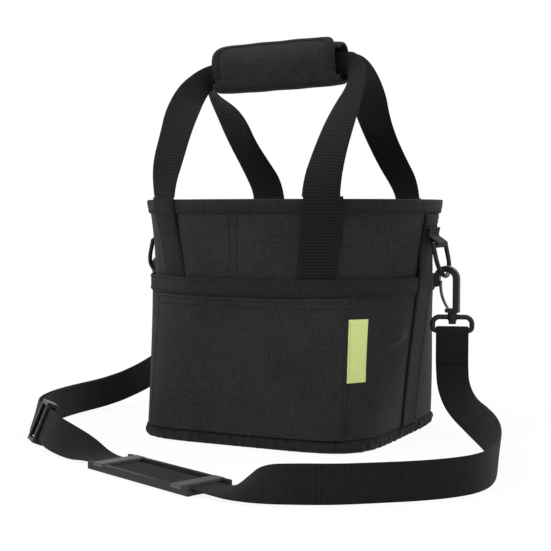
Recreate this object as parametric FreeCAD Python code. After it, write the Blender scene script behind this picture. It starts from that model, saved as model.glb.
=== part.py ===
import FreeCAD, Part
import math
import os
from FreeCAD import Vector

os.makedirs("parts", exist_ok=True)

# Soft-walled caddy bag with two carrying handles and a detachable shoulder strap, in millimetres.
# Origin: middle of the base, on the ground. X runs to the bag's right, Y to its back, Z up.

# Body outline at the base, half way up and at the rim: half width, half depth and corner power
RIM_HEIGHT = 237.0
HALF_WIDTH = (123.5, 136.0, 155.0)
HALF_DEPTH = (120.5, 124.5, 127.0)
CORNER_POWER = (5.2, 2.7, 2.15)
LEVEL_STEP = 30.0
FINE_STEP = 12.0
ARC_STEPS = 12
SECTIONS_PER_SPAN = 2
BEND_SAMPLES = 400

# Layers of the wall, as distances outwards from the outer face of the main panel
PANEL = (-2.4, 0.0)
LINING = (-3.7, -2.7)
INNER_POCKET = (-5.2, -4.0)
TAIL_START = 0.2
POCKET = (2.1, 3.3)
TOP_LAYER = (3.6, 4.8)
SIDE_LIFT = 3.6
STRIP_LIFT = 0.6
STRIP_STEP = (-2.0, 26.0)

# Heights of the layers
LAYER_GAP = 0.3
BASE_PANEL_THICK = 2.0
BASE_BOARD_THICK = 3.0
BASE_LINING_THICK = 1.0
BASE_BINDING_HEIGHT = 12.0
BASE_BINDING_PROUD = 4.7
BASE_BINDING_ROLL = 2.2
BASE_BINDING_STEP = 3.0
RIM_BINDING_HEIGHT = 12.5
RIM_BINDING = (-5.0, 1.5)
RIM_FOLD = 1.5
BAND_BOTTOM = 146.0
BAND_TOP = 162.0
BAND_OVERLAP = 1.0
BAND_END_GAP = 0.3
INNER_POCKET_HEIGHTS = (40.0, 165.0)

# Pockets, label and side strips
PATCH_HALF_WIDTH = 102.5
PATCH_TOP = 144.5
LABEL_HEIGHTS = (66.0, 125.0)
LABEL_TURN = 0.136
INNER_POCKET_HALF_WIDTH = 92.0
SIDE_STRIP_WIDTH = 38.0

# Carrying handles: webbing, sewn tails and free legs; the webbing is gathered towards the grip, and the
# shares of its width hold at the last points of each leg
HANDLE_WIDTH = 36.0
GATHERED = (0.86, 0.68, 0.6, 0.6)
WEBBING_THICK = 1.6
TAIL_HEIGHTS = (126.0, 240.0)
LEG_START = 240.4
TAIL_LIFT = 2.1
TAIL_LIFT_FROM = 186.0
TAIL_REACH = 16.74
TAIL_X = {
    "front_right": (73.5, 82.0),
    "front_left": (-76.5, -90.5),
    "back_right": (75.0, 85.5),
    "back_left": (-75.0, -83.5),
}

# Wrapped grip, in its own frame: X along the grip, Y to its back, Z up
GRIP_CENTRE = (2.5, -38.0, 371.0)
GRIP_TILT = 1.5
GRIP_LENGTH = 142.0
GRIP_HALF_HEIGHT = 21.2
GRIP_HALF_DEPTH = 15.0
GRIP_POWER = 2.5
GRIP_CLOTH = 2.0
GRIP_CORE_SPAN = (-38.0, 218.0)
FLAP_SPAN = (224.0, 348.0)
FLAP_LENGTH = 134.0
FLAP_LIFT = 2.1
FLAP_RISEN = 300.0
FLAP_HEADROOM = 1.4
FLAP_CUT_DEPTH = 60.0
FLAP_CORNER = 18.0
FLAP_BINDING_WIDTH = 7.5
FLAP_BINDING_THICK = 0.9
FLAP_BINDING_CLEAR = 0.1
FLAP_BINDING_FROM = 246.0
FLAP_BINDING_DROP = 1.5
TAPE_SPAN = (326.0, 344.0)
TAPE_LENGTH = 108.0
LOOP_TAPE = (0.1, 1.0)
HOOK_TAPE = (1.2, 2.0)
RUN_LENGTH = 126.0
RUN_OFFSET = 2.0

# Side rings and the loops that hold them
RING_BAR = (160.0, 195.0)
RING_TILT = 12.3
RING_DROP = 32.8
RING_HALF_WIDTH = 19.0
RING_ROD = 4.5
LOOP_WIDTH = 32.0
LOOP_TOP = 211.0
LOOP_CLEAR = 0.35
LOOP_KNEE = (202.5, 204.5)
LOOP_SLACK = 0.4

# Swivel hooks, drawn in the plane of the hook
HOOK_CURL = (168.0, 160.0)
CURL_OUTER = 13.0
CURL_INNER = 7.0
HOOK_DEPTH = 6.0
STEM_BOTTOM = 127.0
NOSE_BOTTOM = 152.0
GATE_THICK = 1.5
GATE_TIP = 158.0
GATE_CLEAR = 0.3
GATE_ROOT = 0.4
GATE_BELLY = (1.2, 12.0)
NOSE_CORNER = 2.4
FOOT_CORNER = 1.6
FOOT_HEIGHT = 4.0
FOOT_REACH = 1.0
SWIVEL_X = 174.0
PIN_RADIUS = 2.5
PIN_CLEAR = 0.3
PIN_HEAD_RADIUS = 3.7
PIN_HEAD = (115.6, 118.6)
HUB_RADIUS = 4.6
HUB = (119.0, 126.4)
EYE_ROD = 5.0
EYE_BARS = (109.0, 122.5)
EYE_HALF_STRAIGHT = 12.4
EYE_FOOT = 3.7
EYE_TURN = 18.0
LEFT_LEAN = 38.0

# Shoulder strap: webbing size, the loops at its ends, and its route as centre points with the
# direction of the edge that is uppermost where the strap stands on edge
STRAP_WIDTH = 32.0
STRAP_THICK = 1.6
END_LOOP_INNER = 2.8
END_LOOP_ARM = 32.0
RETURN_OFFSET = 5.0
PAD_DIRECTION = (0.926, -0.377)
STRAP_RIGHT = [
    ((174.0, 0.0, 88.0), (0.95, 0.31, 0.0)),
    ((174.0, 0.0, 73.0), (0.95, 0.31, 0.0)),
    ((177.0, -5.0, 54.0), (0.93, 0.33, 0.14)),
    ((190.0, -19.0, 38.0), (0.80, 0.45, 0.40)),
    ((215.0, -46.0, 29.0), (0.55, 0.35, 0.76)),
    ((244.0, -97.0, 25.0), (0.30, 0.14, 0.94)),
    ((262.0, -140.0, 20.0), (0.10, 0.05, 0.99)),
    ((268.0, -178.0, 17.0), (0.0, 0.0, 1.0)),
    ((265.0, -210.0, 16.5), (0.0, 0.0, 1.0)),
    ((251.0, -236.0, 16.5), (0.0, 0.0, 1.0)),
    ((229.0, -259.0, 16.5), (0.0, 0.0, 1.0)),
    ((204.0, -278.0, 16.5), (0.0, 0.0, 1.0)),
    ((178.0, -297.0, 16.5), (0.0, 0.05, 1.0)),
    ((150.0, -310.0, 16.6), (0.04, 0.15, 0.99)),
    ((122.0, -316.0, 15.2), (0.15, 0.45, 0.88)),
    ((100.0, -314.0, 9.0), (0.32, 0.82, 0.45)),
    ((84.0, -308.8, 4.4), (0.377, 0.926, 0.03)),
    ((60.0, -299.1, 4.1), (0.377, 0.926, 0.0)),
    ((32.0, -287.7, 4.1), (0.377, 0.926, 0.0)),
    ((2.0, -275.5, 4.1), (0.377, 0.926, 0.0)),
]
STRAP_LEFT = [
    ((2.0, -275.5, 4.1), (0.377, 0.926, 0.0)),
    ((-28.0, -263.3, 4.1), (0.377, 0.926, 0.0)),
    ((-56.0, -251.9, 4.1), (0.377, 0.926, 0.0)),
    ((-82.0, -241.3, 4.4), (0.377, 0.926, 0.03)),
    ((-102.0, -236.0, 9.2), (0.33, 0.80, 0.50)),
    ((-126.0, -231.0, 15.0), (0.29, 0.55, 0.78)),
    ((-146.0, -223.5, 19.0), (0.27, 0.38, 0.885)),
    ((-164.0, -208.5, 21.6), (0.264, 0.288, 0.92)),
    ((-178.5, -195.2, 21.8), (0.264, 0.288, 0.92)),
    ((-195.0, -180.1, 21.8), (0.264, 0.288, 0.92)),
    ((-211.0, -165.0, 20.5), (0.23, 0.24, 0.94)),
    ((-230.0, -134.0, 17.5), (0.08, 0.06, 0.99)),
    ((-246.0, -97.0, 16.5), (0.0, 0.0, 1.0)),
    ((-254.0, -58.0, 16.5), (0.0, 0.0, 1.0)),
    ((-256.0, -20.0, 16.5), (0.0, 0.0, 1.0)),
    ((-250.0, 14.0, 18.0), (0.0, 0.04, 1.0)),
    ((-236.0, 42.0, 24.0), (-0.15, 0.20, 0.97)),
    ((-216.0, 66.0, 36.0), (-0.45, 0.40, 0.80)),
    ((-191.0, 81.0, 58.0), (-0.80, 0.42, 0.42)),
    ((-173.2, 78.7, 84.6), (-0.951, 0.243, 0.190)),
    ((-173.2, 67.0, 99.6), (-0.951, 0.243, 0.190)),
]
RETURN_FROM = 9
RETURN_TO = 20

# Adjuster on the strap, and the shoulder pad
ADJUSTER_AT = 8
ADJUSTER_LENGTH = 27.0
ADJUSTER_HALF_WIDTH = 20.6
ADJUSTER_RAIL = 3.4
ADJUSTER_BAR = 5.0
ADJUSTER_OUTER = (1.2, 4.6)
ADJUSTER_CENTRE = (-6.5, -3.5)
ADJUSTER_BAR_CORNER = 1.2
ADJUSTER_RAIL_CORNER = 2.0
TAIL_LOOP_CLEAR = 0.3
TAIL_LOOP_NOSE = 1.6
TAIL_LOOP_ARM = 17.0
PAD_LENGTH = 145.0
PAD_WIDTH = 47.0
PAD_HEIGHT = 7.2
PAD_GROUND = 0.3
PAD_PLATE = 2.6
PAD_RAIL = 4.2
PAD_SLOT = 2.3
PAD_BRIDGE = 13.0
PAD_BRIDGE_INSET = 10.0
PAD_RAIL_CORNER = 1.8
PAD_STEP = 0.6


def between(values, height):
    """Value at a height of a quantity given at the base, half way up and at the rim (a parabola)."""
    s = height / RIM_HEIGHT
    return (values[0] * (1 - s) * (1 - 2 * s) + values[1] * 4 * s * (1 - s) + values[2] * s * (2 * s - 1))


def at(value, height):
    return value(height) if callable(value) else value


def wall_point(angle, height, out):
    """Point of the superellipse outline at a polar angle in radians, moved outwards by out."""
    a = between(HALF_WIDTH, height) + out
    b = between(HALF_DEPTH, height) + out
    n = between(CORNER_POWER, height)
    r = (abs(math.cos(angle) / a) ** n + abs(math.sin(angle) / b) ** n) ** (-1 / n)
    return Vector(r * math.cos(angle), r * math.sin(angle), height)


def angle_at_x(x, height, side):
    """Polar angle of the wall at a given X, on the front (side -1) or the back (side +1)."""
    a = between(HALF_WIDTH, height)
    b = between(HALF_DEPTH, height)
    n = between(CORNER_POWER, height)
    y = b * (1 - (abs(x) / a) ** n) ** (1 / n)
    angle = math.atan2(side * y, x)
    return angle if side > 0 else angle + 2 * math.pi


def spline(points):
    curve = Part.BSplineCurve()
    curve.interpolate(points)
    return curve.toShape()


def arc_points(start, end, height, out):
    steps = [start + (end - start) * i / ARC_STEPS for i in range(ARC_STEPS + 1)]
    return [wall_point(angle, height, out) for angle in steps]


def wall_section(start, end, layer, height):
    outer = arc_points(at(start, height), at(end, height), height, at(layer[1], height))
    inner = arc_points(at(end, height), at(start, height), height, at(layer[0], height))
    return Part.Wire([spline(outer), Part.makeLine(outer[-1], inner[0]), spline(inner),
                      Part.makeLine(inner[-1], outer[0])])


def wall_piece(start, end, layer, bottom, top, step=LEVEL_STEP):
    """Sheet that follows the wall between two polar angles and two heights."""
    count = max(2, math.ceil((top - bottom) / step))
    heights = [bottom + (top - bottom) * i / count for i in range(count + 1)]
    return Part.makeLoft([wall_section(start, end, layer, height) for height in heights], True, False)


FRONT_HALF = (math.pi, 2 * math.pi)
BACK_HALF = (0.0, math.pi)


def half_wall(half, layer, bottom, top, step=LEVEL_STEP):
    return wall_piece(half[0], half[1], layer, bottom, top, step)


def base_slab(out, bottom, thick):
    """Flat sheet of the base outline, drawn in by -out."""
    halves = [spline(arc_points(half[0], half[1], 0.0, out)) for half in (BACK_HALF, FRONT_HALF)]
    face = Part.Face(Part.Wire(halves))
    face.translate(Vector(0, 0, bottom))
    return face.extrude(Vector(0, 0, thick))


def unit(vector):
    vector = Vector(*vector)
    return vector.normalize()


def quadratic(poles):
    """Clamped quadratic B-spline edge with the points as its control points."""
    spans = len(poles) - 2
    curve = Part.BSplineCurve()
    curve.buildFromPolesMultsKnots(poles, [3] + [1] * (spans - 1) + [3], list(range(spans + 1)), False, 2)
    return curve


def station_frames(stations):
    """Centre, tangent, width direction and face normal at each control point of a webbing route."""
    centres = [Vector(*centre) for centre, _ in stations]
    frames = []
    for i, (_, wide) in enumerate(stations):
        ahead = centres[min(i + 1, len(centres) - 1)]
        behind = centres[max(i - 1, 0)]
        tangent = (ahead - behind).normalize()
        wide = unit(wide)
        wide = (wide - tangent * wide.dot(tangent)).normalize()
        frames.append((centres[i], tangent, wide, tangent.cross(wide)))
    return frames


def webbing(frames, width, thick, shift=0.0, gathered=()):
    """Flat webbing: a loft through the rectangle of its section at points along the route's spline."""
    widths = [width] * (len(frames) - len(gathered)) + [width * share for share in gathered]
    corners = [(0.5, 0.5), (-0.5, 0.5), (-0.5, -0.5), (0.5, -0.5)]
    edges = []
    for u, v in corners:
        poles = [c + w * (u * wide) + n * (v * thick + shift) for (c, _, w, n), wide in zip(frames, widths)]
        edges.append(quadratic(poles))
    count = SECTIONS_PER_SPAN * (len(frames) - 2)
    sections = []
    for i in range(count + 1):
        at_span = i / SECTIONS_PER_SPAN
        points = [edge.value(at_span) for edge in edges]
        sections.append(Part.makePolygon(points + points[:1]))
    return Part.makeLoft(sections, True, True)


def route_facts(name, frames, width, thick, solid):
    """Prints a webbing stretch's length, its tightest bend and its volume beside section times length."""
    curve = quadratic([frame[0] for frame in frames])
    length = curve.length()
    first, last = curve.FirstParameter, curve.LastParameter
    samples = [first + (last - first) * (i + 0.5) / BEND_SAMPLES for i in range(BEND_SAMPLES)]
    bend = 1 / max(curve.curvature(p) for p in samples)
    print(f"{name}: {length:.0f} long, tightest bend {bend:.1f}, "
          f"volume {solid.Volume:.0f} beside {length * width * thick:.0f}")


def placed(shape, origin, along, wide, normal):
    """Moves a shape drawn with X along, Y across and Z out of a strap into its place on the strap."""
    matrix = FreeCAD.Matrix(along.x, wide.x, normal.x, origin.x,
                            along.y, wide.y, normal.y, origin.y,
                            along.z, wide.z, normal.z, origin.z, 0, 0, 0, 1)
    return shape.transformed(matrix)


def block(x, y, z):
    """Box from three (low, high) pairs."""
    return Part.makeBox(x[1] - x[0], y[1] - y[0], z[1] - z[0], Vector(x[0], y[0], z[0]))


def rounded_block(x, y, z, radius, direction):
    """Box whose four edges along a direction are rounded."""
    box = block(x, y, z)
    along = [edge for edge in box.Edges if abs(edge.tangentAt(0).dot(direction)) > 0.99]
    return box.makeFillet(radius, along)


def rod_along(edges, radius):
    """Round rod along a wire of lines and arcs."""
    path = Part.Wire(edges)
    start = edges[0].Vertexes[0].Point
    direction = edges[0].tangentAt(edges[0].FirstParameter)
    profile = Part.Wire(Part.makeCircle(radius, start, direction))
    return path.makePipeShell([profile], True, False)


def shell_and_layers():
    top = RIM_HEIGHT
    board_bottom = BASE_PANEL_THICK + LAYER_GAP
    lining_bottom = board_bottom + BASE_BOARD_THICK + LAYER_GAP
    wall_lining_bottom = lining_bottom + BASE_LINING_THICK + LAYER_GAP
    pocket_bottom = BASE_BINDING_HEIGHT + LAYER_GAP
    parts = {
        "base_panel": base_slab(PANEL[0] - LAYER_GAP, 0.0, BASE_PANEL_THICK),
        "base_board": base_slab(INNER_POCKET[0], board_bottom, BASE_BOARD_THICK),
        "base_lining": base_slab(LINING[0] - LAYER_GAP, lining_bottom, BASE_LINING_THICK),
    }
    for name, half in (("front", FRONT_HALF), ("back", BACK_HALF)):
        parts[name + "_panel"] = half_wall(half, PANEL, 0.0, top)
        parts[name + "_lining"] = half_wall(half, LINING, wall_lining_bottom, top)
        parts[name + "_pocket_panel"] = half_wall(half, POCKET, pocket_bottom, BAND_TOP - BAND_OVERLAP)
        parts[name + "_pocket_band"] = between_strips(half, TOP_LAYER, BAND_BOTTOM, BAND_TOP)
        parts[name + "_inner_pocket"] = inner_pocket(-1 if name == "front" else 1)
    parts["base_binding"] = ring_of(lambda half: half_wall(half, (LAYER_GAP, base_roll), 0.0,
                                                           BASE_BINDING_HEIGHT, BASE_BINDING_STEP))
    parts["rim_binding"] = ring_of(rim_channel)
    return parts


def base_roll(height):
    """Outward reach of the rolled binding round the base: a shallow parabola, fullest half way up."""
    middle = BASE_BINDING_HEIGHT / 2
    return BASE_BINDING_PROUD - BASE_BINDING_ROLL * ((height - middle) / middle) ** 2


def rim_channel(half):
    """Half of the folded tape over the rim: a channel that takes the panel and the lining."""
    low = RIM_HEIGHT - RIM_BINDING_HEIGHT
    high = RIM_HEIGHT + RIM_FOLD
    tape = half_wall(half, RIM_BINDING, low, high)
    slot = half_wall(half, (LINING[0] - LAYER_GAP, PANEL[1] + LAYER_GAP), low - 1.0, RIM_HEIGHT + LAYER_GAP)
    return tape.cut(slot)


def ring_of(make_half):
    return make_half(FRONT_HALF).fuse(make_half(BACK_HALF)).removeSplitter()


def strip_angle(height):
    """Polar angle from the side seam to the edge of the side strip."""
    return math.atan2(SIDE_STRIP_WIDTH / 2, between(HALF_WIDTH, height))


def between_strips(half, layer, bottom, top):
    clear = math.radians(BAND_END_GAP)
    return wall_piece(lambda z: half[0] + strip_angle(z) + clear, lambda z: half[1] - strip_angle(z) - clear,
                      layer, bottom, top)


def inner_pocket(side):
    low, high = INNER_POCKET_HEIGHTS
    wide = INNER_POCKET_HALF_WIDTH
    ends = [lambda z: angle_at_x(-wide, z, side), lambda z: angle_at_x(wide, z, side)]
    start, end = ends if side < 0 else ends[::-1]
    return wall_piece(start, end, INNER_POCKET, low, high)


def pockets_and_strips():
    bottom = BASE_BINDING_HEIGHT + LAYER_GAP
    right_edge = lambda z: angle_at_x(PATCH_HALF_WIDTH, z, -1)
    left_edge = lambda z: angle_at_x(-PATCH_HALF_WIDTH, z, -1)
    parts = {"front_patch_pocket": wall_piece(left_edge, right_edge, TOP_LAYER, bottom, PATCH_TOP)}
    label_gap = LAYER_GAP / PATCH_HALF_WIDTH
    parts["label_tab"] = wall_piece(lambda z: right_edge(z) + label_gap,
                                    lambda z: right_edge(z) + label_gap + LABEL_TURN,
                                    TOP_LAYER, *LABEL_HEIGHTS)
    strip_top = RIM_HEIGHT - RIM_BINDING_HEIGHT - LAYER_GAP
    layer = (strip_lift, lambda z: strip_lift(z) + WEBBING_THICK)
    for name, seam in (("right", 0.0), ("left", math.pi)):
        start = lambda z: seam - strip_angle(z)
        end = lambda z: seam + strip_angle(z)
        parts[name + "_side_webbing"] = wall_piece(start, end, layer, bottom, strip_top, FINE_STEP)
    return parts


def strip_lift(height):
    """The side strip lies over the pocket panels, then comes down to the main panel above them."""
    return ramp(height, BAND_TOP + STRIP_STEP[0], SIDE_LIFT, BAND_TOP + STRIP_STEP[1], STRIP_LIFT)


def ramp(value, start, low, end, high):
    """Smooth step from low to high between start and end."""
    s = min(1.0, max(0.0, (value - start) / (end - start)))
    return low + (high - low) * s * s * (3 - 2 * s)


def tail_lift(height):
    """A sewn tail lies on the panel and comes out over the rim binding."""
    return ramp(height, TAIL_LIFT_FROM, TAIL_START, RIM_HEIGHT - RIM_BINDING_HEIGHT - 3.0, TAIL_LIFT)


def tail_centre(name, height):
    low, high = TAIL_X[name]
    return ramp(height, TAIL_HEIGHTS[0], low, TAIL_HEIGHTS[1], high)


def handle_tail(name):
    side = -1 if name.startswith("front") else 1
    ends = [lambda z: angle_at_x(tail_centre(name, z) - TAIL_REACH, z, side),
            lambda z: angle_at_x(tail_centre(name, z) + TAIL_REACH, z, side)]
    start, end = ends if side < 0 else ends[::-1]
    layer = (tail_lift, lambda z: tail_lift(z) + WEBBING_THICK)
    return wall_piece(start, end, layer, *TAIL_HEIGHTS, FINE_STEP)


# Free legs of the handles above the rim: centre points and the direction of the right-hand edge
LEGS = {
    "front_right": [
        ((82.2, -113.8, LEG_START), (0.92, 0.39, 0.0)),
        ((83.4, -114.6, 254.0), (0.97, 0.22, 0.0)),
        ((86.5, -106.5, 279.0), (1.0, -0.08, 0.0)),
        ((90.5, -91.0, 309.0), (0.97, -0.22, 0.03)),
        ((93.5, -74.0, 333.0), (0.93, -0.22, 0.3)),
        ((93.5, -57.0, 355.0), (0.66, -0.05, 0.74)),
        ((84.0, -44.5, 371.5), (0.06, 0.0, 0.99)),
        ((72.0, -40.3, 372.8), (-0.026, 0.0, 1.0)),
        ((66.2, -40.0, 372.67), (-0.026, 0.0, 1.0)),
    ],
    "front_left": [
        ((-91.0, -108.2, LEG_START), (0.9, -0.44, 0.0)),
        ((-90.5, -110.0, 254.0), (0.94, -0.34, 0.0)),
        ((-87.5, -107.0, 277.0), (1.0, -0.06, 0.0)),
        ((-85.5, -95.0, 305.0), (1.0, 0.0, 0.0)),
        ((-86.5, -80.0, 328.0), (0.95, 0.05, -0.3)),
        ((-87.0, -61.0, 347.0), (0.62, 0.12, -0.77)),
        ((-80.0, -45.0, 362.5), (0.08, 0.0, -0.99)),
        ((-67.0, -40.4, 369.2), (0.026, 0.0, -1.0)),
        ((-61.2, -40.0, 369.33), (0.026, 0.0, -1.0)),
    ],
    "back_left": [
        ((-83.8, 112.8, LEG_START), (0.92, 0.39, 0.0)),
        ((-86.0, 115.0, 254.0), (0.96, 0.28, 0.0)),
        ((-99.0, 108.0, 280.0), (1.0, 0.05, 0.0)),
        ((-105.0, 86.0, 306.0), (1.0, -0.05, 0.0)),
        ((-99.0, 50.0, 330.0), (1.0, -0.12, -0.05)),
        ((-92.0, 12.0, 347.0), (0.93, -0.2, -0.3)),
        ((-88.0, -18.0, 359.0), (0.55, -0.25, -0.8)),
        ((-79.0, -32.0, 365.5), (0.08, 0.0, -0.99)),
        ((-67.0, -35.7, 369.2), (0.026, 0.0, -1.0)),
        ((-61.2, -36.0, 369.33), (0.026, 0.0, -1.0)),
    ],
    "back_right": [
        ((86.0, 111.9, LEG_START), (0.91, -0.42, 0.0)),
        ((83.5, 114.5, 254.0), (0.95, -0.3, 0.0)),
        ((70.0, 106.0, 281.0), (1.0, -0.08, 0.0)),
        ((64.5, 85.0, 307.0), (1.0, 0.0, 0.0)),
        ((67.5, 55.0, 327.0), (1.0, 0.1, 0.03)),
        ((75.5, 22.0, 345.0), (0.93, 0.25, 0.25)),
        ((84.0, -12.0, 361.0), (0.55, 0.25, 0.8)),
        ((84.0, -31.5, 371.5), (0.06, 0.0, 0.99)),
        ((72.0, -35.7, 372.8), (-0.026, 0.0, 1.0)),
        ((66.2, -36.0, 372.67), (-0.026, 0.0, 1.0)),
    ],
}


def grip_point(angle, out):
    """Point of the grip's oval section at an angle in degrees from its top, turning to the back."""
    a = GRIP_HALF_DEPTH + out
    b = GRIP_HALF_HEIGHT + out
    s = math.sin(math.radians(angle))
    c = math.cos(math.radians(angle))
    r = (abs(s / a) ** GRIP_POWER + abs(c / b) ** GRIP_POWER) ** (-1 / GRIP_POWER)
    return Vector(0, r * s, r * c)


def grip_sheet(span, layer, length):
    """Sheet that follows the grip's oval over a span of angles, drawn along the grip."""
    angles = [span[0] + (span[1] - span[0]) * i / (2 * ARC_STEPS) for i in range(2 * ARC_STEPS + 1)]
    outer = [grip_point(angle, at(layer[1], angle)) for angle in angles]
    inner = [grip_point(angle, at(layer[0], angle)) for angle in reversed(angles)]
    wire = Part.Wire([spline(outer), Part.makeLine(outer[-1], inner[0]), spline(inner),
                      Part.makeLine(inner[-1], outer[0])])
    face = Part.Face(wire)
    face.translate(Vector(-length / 2, 0, 0))
    return face.extrude(Vector(length, 0, 0))


def flap_lift(angle):
    """The flap leaves the bottom of the wrap and rises over its own top edge."""
    return ramp(angle, FLAP_SPAN[0], -GRIP_CLOTH, FLAP_RISEN, FLAP_LIFT)


def flap_outline():
    """Prism through the grip, in front view a strip with its two upper corners rounded."""
    half = FLAP_LENGTH / 2
    top = GRIP_HALF_HEIGHT + FLAP_LIFT + GRIP_CLOTH + FLAP_HEADROOM
    low = -GRIP_HALF_HEIGHT * 2
    prism = block((-half, half), (-FLAP_CUT_DEPTH, 0.0), (low, top))
    rounded = [edge for edge in prism.Edges
               if abs(edge.tangentAt(0).y) > 0.99 and edge.CenterOfMass.z > 0]
    return prism.makeFillet(FLAP_CORNER, rounded)


def grip_parts():
    flap = grip_sheet(FLAP_SPAN, (flap_lift, lambda a: flap_lift(a) + GRIP_CLOTH), FLAP_LENGTH)
    flap = flap.common(flap_outline())
    under = GRIP_CLOTH + FLAP_BINDING_CLEAR
    raised = (lambda a: flap_lift(a) + under, lambda a: flap_lift(a) + under + FLAP_BINDING_THICK)
    binding = grip_sheet((FLAP_BINDING_FROM, FLAP_SPAN[1]), raised, FLAP_LENGTH)
    binding = binding.common(flap_outline()).cut(binding_window())
    run_half = HANDLE_WIDTH * GATHERED[-1] / 2
    parts = {
        "grip_wrap": grip_sheet(GRIP_CORE_SPAN, (-GRIP_CLOTH, 0.0), GRIP_LENGTH),
        "grip_flap": flap,
        "grip_flap_binding": binding,
        "grip_loop_tape": grip_sheet(TAPE_SPAN, LOOP_TAPE, TAPE_LENGTH),
        "grip_hook_tape": grip_sheet(TAPE_SPAN, HOOK_TAPE, TAPE_LENGTH),
    }
    for name, y in (("front", -RUN_OFFSET), ("back", RUN_OFFSET)):
        half_thick = WEBBING_THICK / 2
        parts[name + "_handle_run"] = block((-RUN_LENGTH / 2, RUN_LENGTH / 2),
                                            (y - half_thick, y + half_thick), (-run_half, run_half))
    for shape in parts.values():
        shape.rotate(Vector(0, 0, 0), Vector(0, 1, 0), -GRIP_TILT)
        shape.translate(Vector(*GRIP_CENTRE))
    return parts


def binding_window():
    """What the binding tape leaves bare on the flap, in front view."""
    edge = FLAP_BINDING_WIDTH
    half = FLAP_LENGTH / 2 - edge
    top = grip_point(FLAP_SPAN[1], FLAP_LIFT + GRIP_CLOTH).z - edge - FLAP_BINDING_DROP
    window = block((-half, half), (-FLAP_CUT_DEPTH, 0.0), (-GRIP_HALF_HEIGHT * 2, top))
    rounded = [e for e in window.Edges if abs(e.tangentAt(0).y) > 0.99 and e.CenterOfMass.z > 0]
    return window.makeFillet(FLAP_CORNER - edge, rounded)


def side_ring():
    """D ring in its own plane, hung from its bar at the origin: bar along Y, bottom towards -Z."""
    radius = RING_ROD / 2
    half = RING_HALF_WIDTH
    shoulder = RING_DROP - half
    bar = Part.makeLine(Vector(0, -half, 0), Vector(0, half, 0))
    back = Part.makeLine(Vector(0, half, 0), Vector(0, half, -shoulder))
    lowest = Vector(0, 0, -RING_DROP)
    bow = Part.Arc(Vector(0, half, -shoulder), lowest, Vector(0, -half, -shoulder)).toShape()
    front = Part.makeLine(Vector(0, -half, -shoulder), Vector(0, -half, 0))
    ring = rod_along([back, bow, front], radius)
    ring = ring.fuse(Part.makeCylinder(radius, 2 * half, Vector(0, -half, 0), Vector(0, 1, 0)))
    for y in (-half, half):
        ring = ring.fuse(Part.makeSphere(radius, Vector(0, y, 0)))
    ring.rotate(Vector(0, 0, 0), Vector(0, 1, 0), -RING_TILT)
    ring.translate(Vector(RING_BAR[0], 0, RING_BAR[1]))
    return ring.removeSplitter()


def strip_face(height):
    """X of the side strip's outer face, with the gap that a layer on it keeps."""
    return between(HALF_WIDTH, height) + strip_lift(height) + WEBBING_THICK + LAYER_GAP


def ring_loop():
    """Webbing folded round the ring's bar, its two ends sewn flat on the side strip."""
    x, z = RING_BAR
    inner = RING_ROD / 2 + LOOP_CLEAR
    outer = inner + WEBBING_THICK
    half = LOOP_WIDTH / 2
    wall_high = strip_face(LOOP_TOP)
    wall_knee = strip_face(LOOP_KNEE[0]) + LOOP_SLACK
    double = 2 * WEBBING_THICK
    points = [Vector(wall_high, 0, LOOP_TOP), Vector(wall_knee, 0, LOOP_KNEE[0]), Vector(x - outer, 0, z)]
    ends = [Vector(wall_high + double, 0, LOOP_TOP), Vector(wall_knee + double, 0, LOOP_KNEE[1]),
            Vector(x + outer, 0, z)]
    under = Part.Arc(points[-1], Vector(x, 0, z - outer), ends[-1]).toShape()
    outline = [Part.makeLine(points[0], points[1]), Part.makeLine(points[1], points[2]), under,
               Part.makeLine(ends[2], ends[1]), Part.makeLine(ends[1], ends[0]),
               Part.makeLine(ends[0], points[0])]
    solid = Part.Face(Part.Wire(outline)).extrude(Vector(0, LOOP_WIDTH, 0))
    solid.translate(Vector(0, -half, 0))
    hole = Part.makeCylinder(inner, LOOP_WIDTH + 2, Vector(x, -half - 1, z), Vector(0, 1, 0))
    return solid.cut(hole)


def arc_band(centre, inner, outer, start, end, depth):
    """Ring sector in the XZ plane between two angles in degrees from +X towards +Z."""
    def corner(radius, angle):
        turn = math.radians(angle)
        return Vector(centre[0] + radius * math.cos(turn), -depth / 2, centre[1] + radius * math.sin(turn))
    middle = (start + end) / 2
    outline = [Part.Arc(corner(outer, start), corner(outer, middle), corner(outer, end)).toShape(),
               Part.makeLine(corner(outer, end), corner(inner, end)),
               Part.Arc(corner(inner, end), corner(inner, middle), corner(inner, start)).toShape(),
               Part.makeLine(corner(inner, start), corner(outer, start))]
    return Part.Face(Part.Wire(outline)).extrude(Vector(0, depth, 0))


def hook_body():
    x, z = HOOK_CURL
    y = (-HOOK_DEPTH / 2, HOOK_DEPTH / 2)
    across = Vector(0, 1, 0)
    curl = arc_band(HOOK_CURL, CURL_INNER, CURL_OUTER, 0.0, 180.0, HOOK_DEPTH)
    stem = block((x + CURL_INNER, x + CURL_OUTER), y, (STEM_BOTTOM, z))
    nose = rounded_block((x - CURL_OUTER, x - CURL_INNER), y, (NOSE_BOTTOM, z), NOSE_CORNER, across)
    nose = nose.fuse(block((x - CURL_OUTER, x - CURL_INNER), y, (z - NOSE_CORNER, z)))
    foot_height = (HUB[1] + LAYER_GAP, STEM_BOTTOM + FOOT_HEIGHT)
    foot = rounded_block((x - FOOT_REACH, x + CURL_OUTER), y, foot_height, FOOT_CORNER, across)
    pin = Part.makeCylinder(PIN_RADIUS, HUB[1] + 1.0 - PIN_HEAD[0], Vector(SWIVEL_X, 0, PIN_HEAD[0]))
    head = Part.makeCylinder(PIN_HEAD_RADIUS, PIN_HEAD[1] - PIN_HEAD[0], Vector(SWIVEL_X, 0, PIN_HEAD[0]))
    body = curl.fuse([stem, nose, foot, pin, head])
    return body.removeSplitter()


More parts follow.
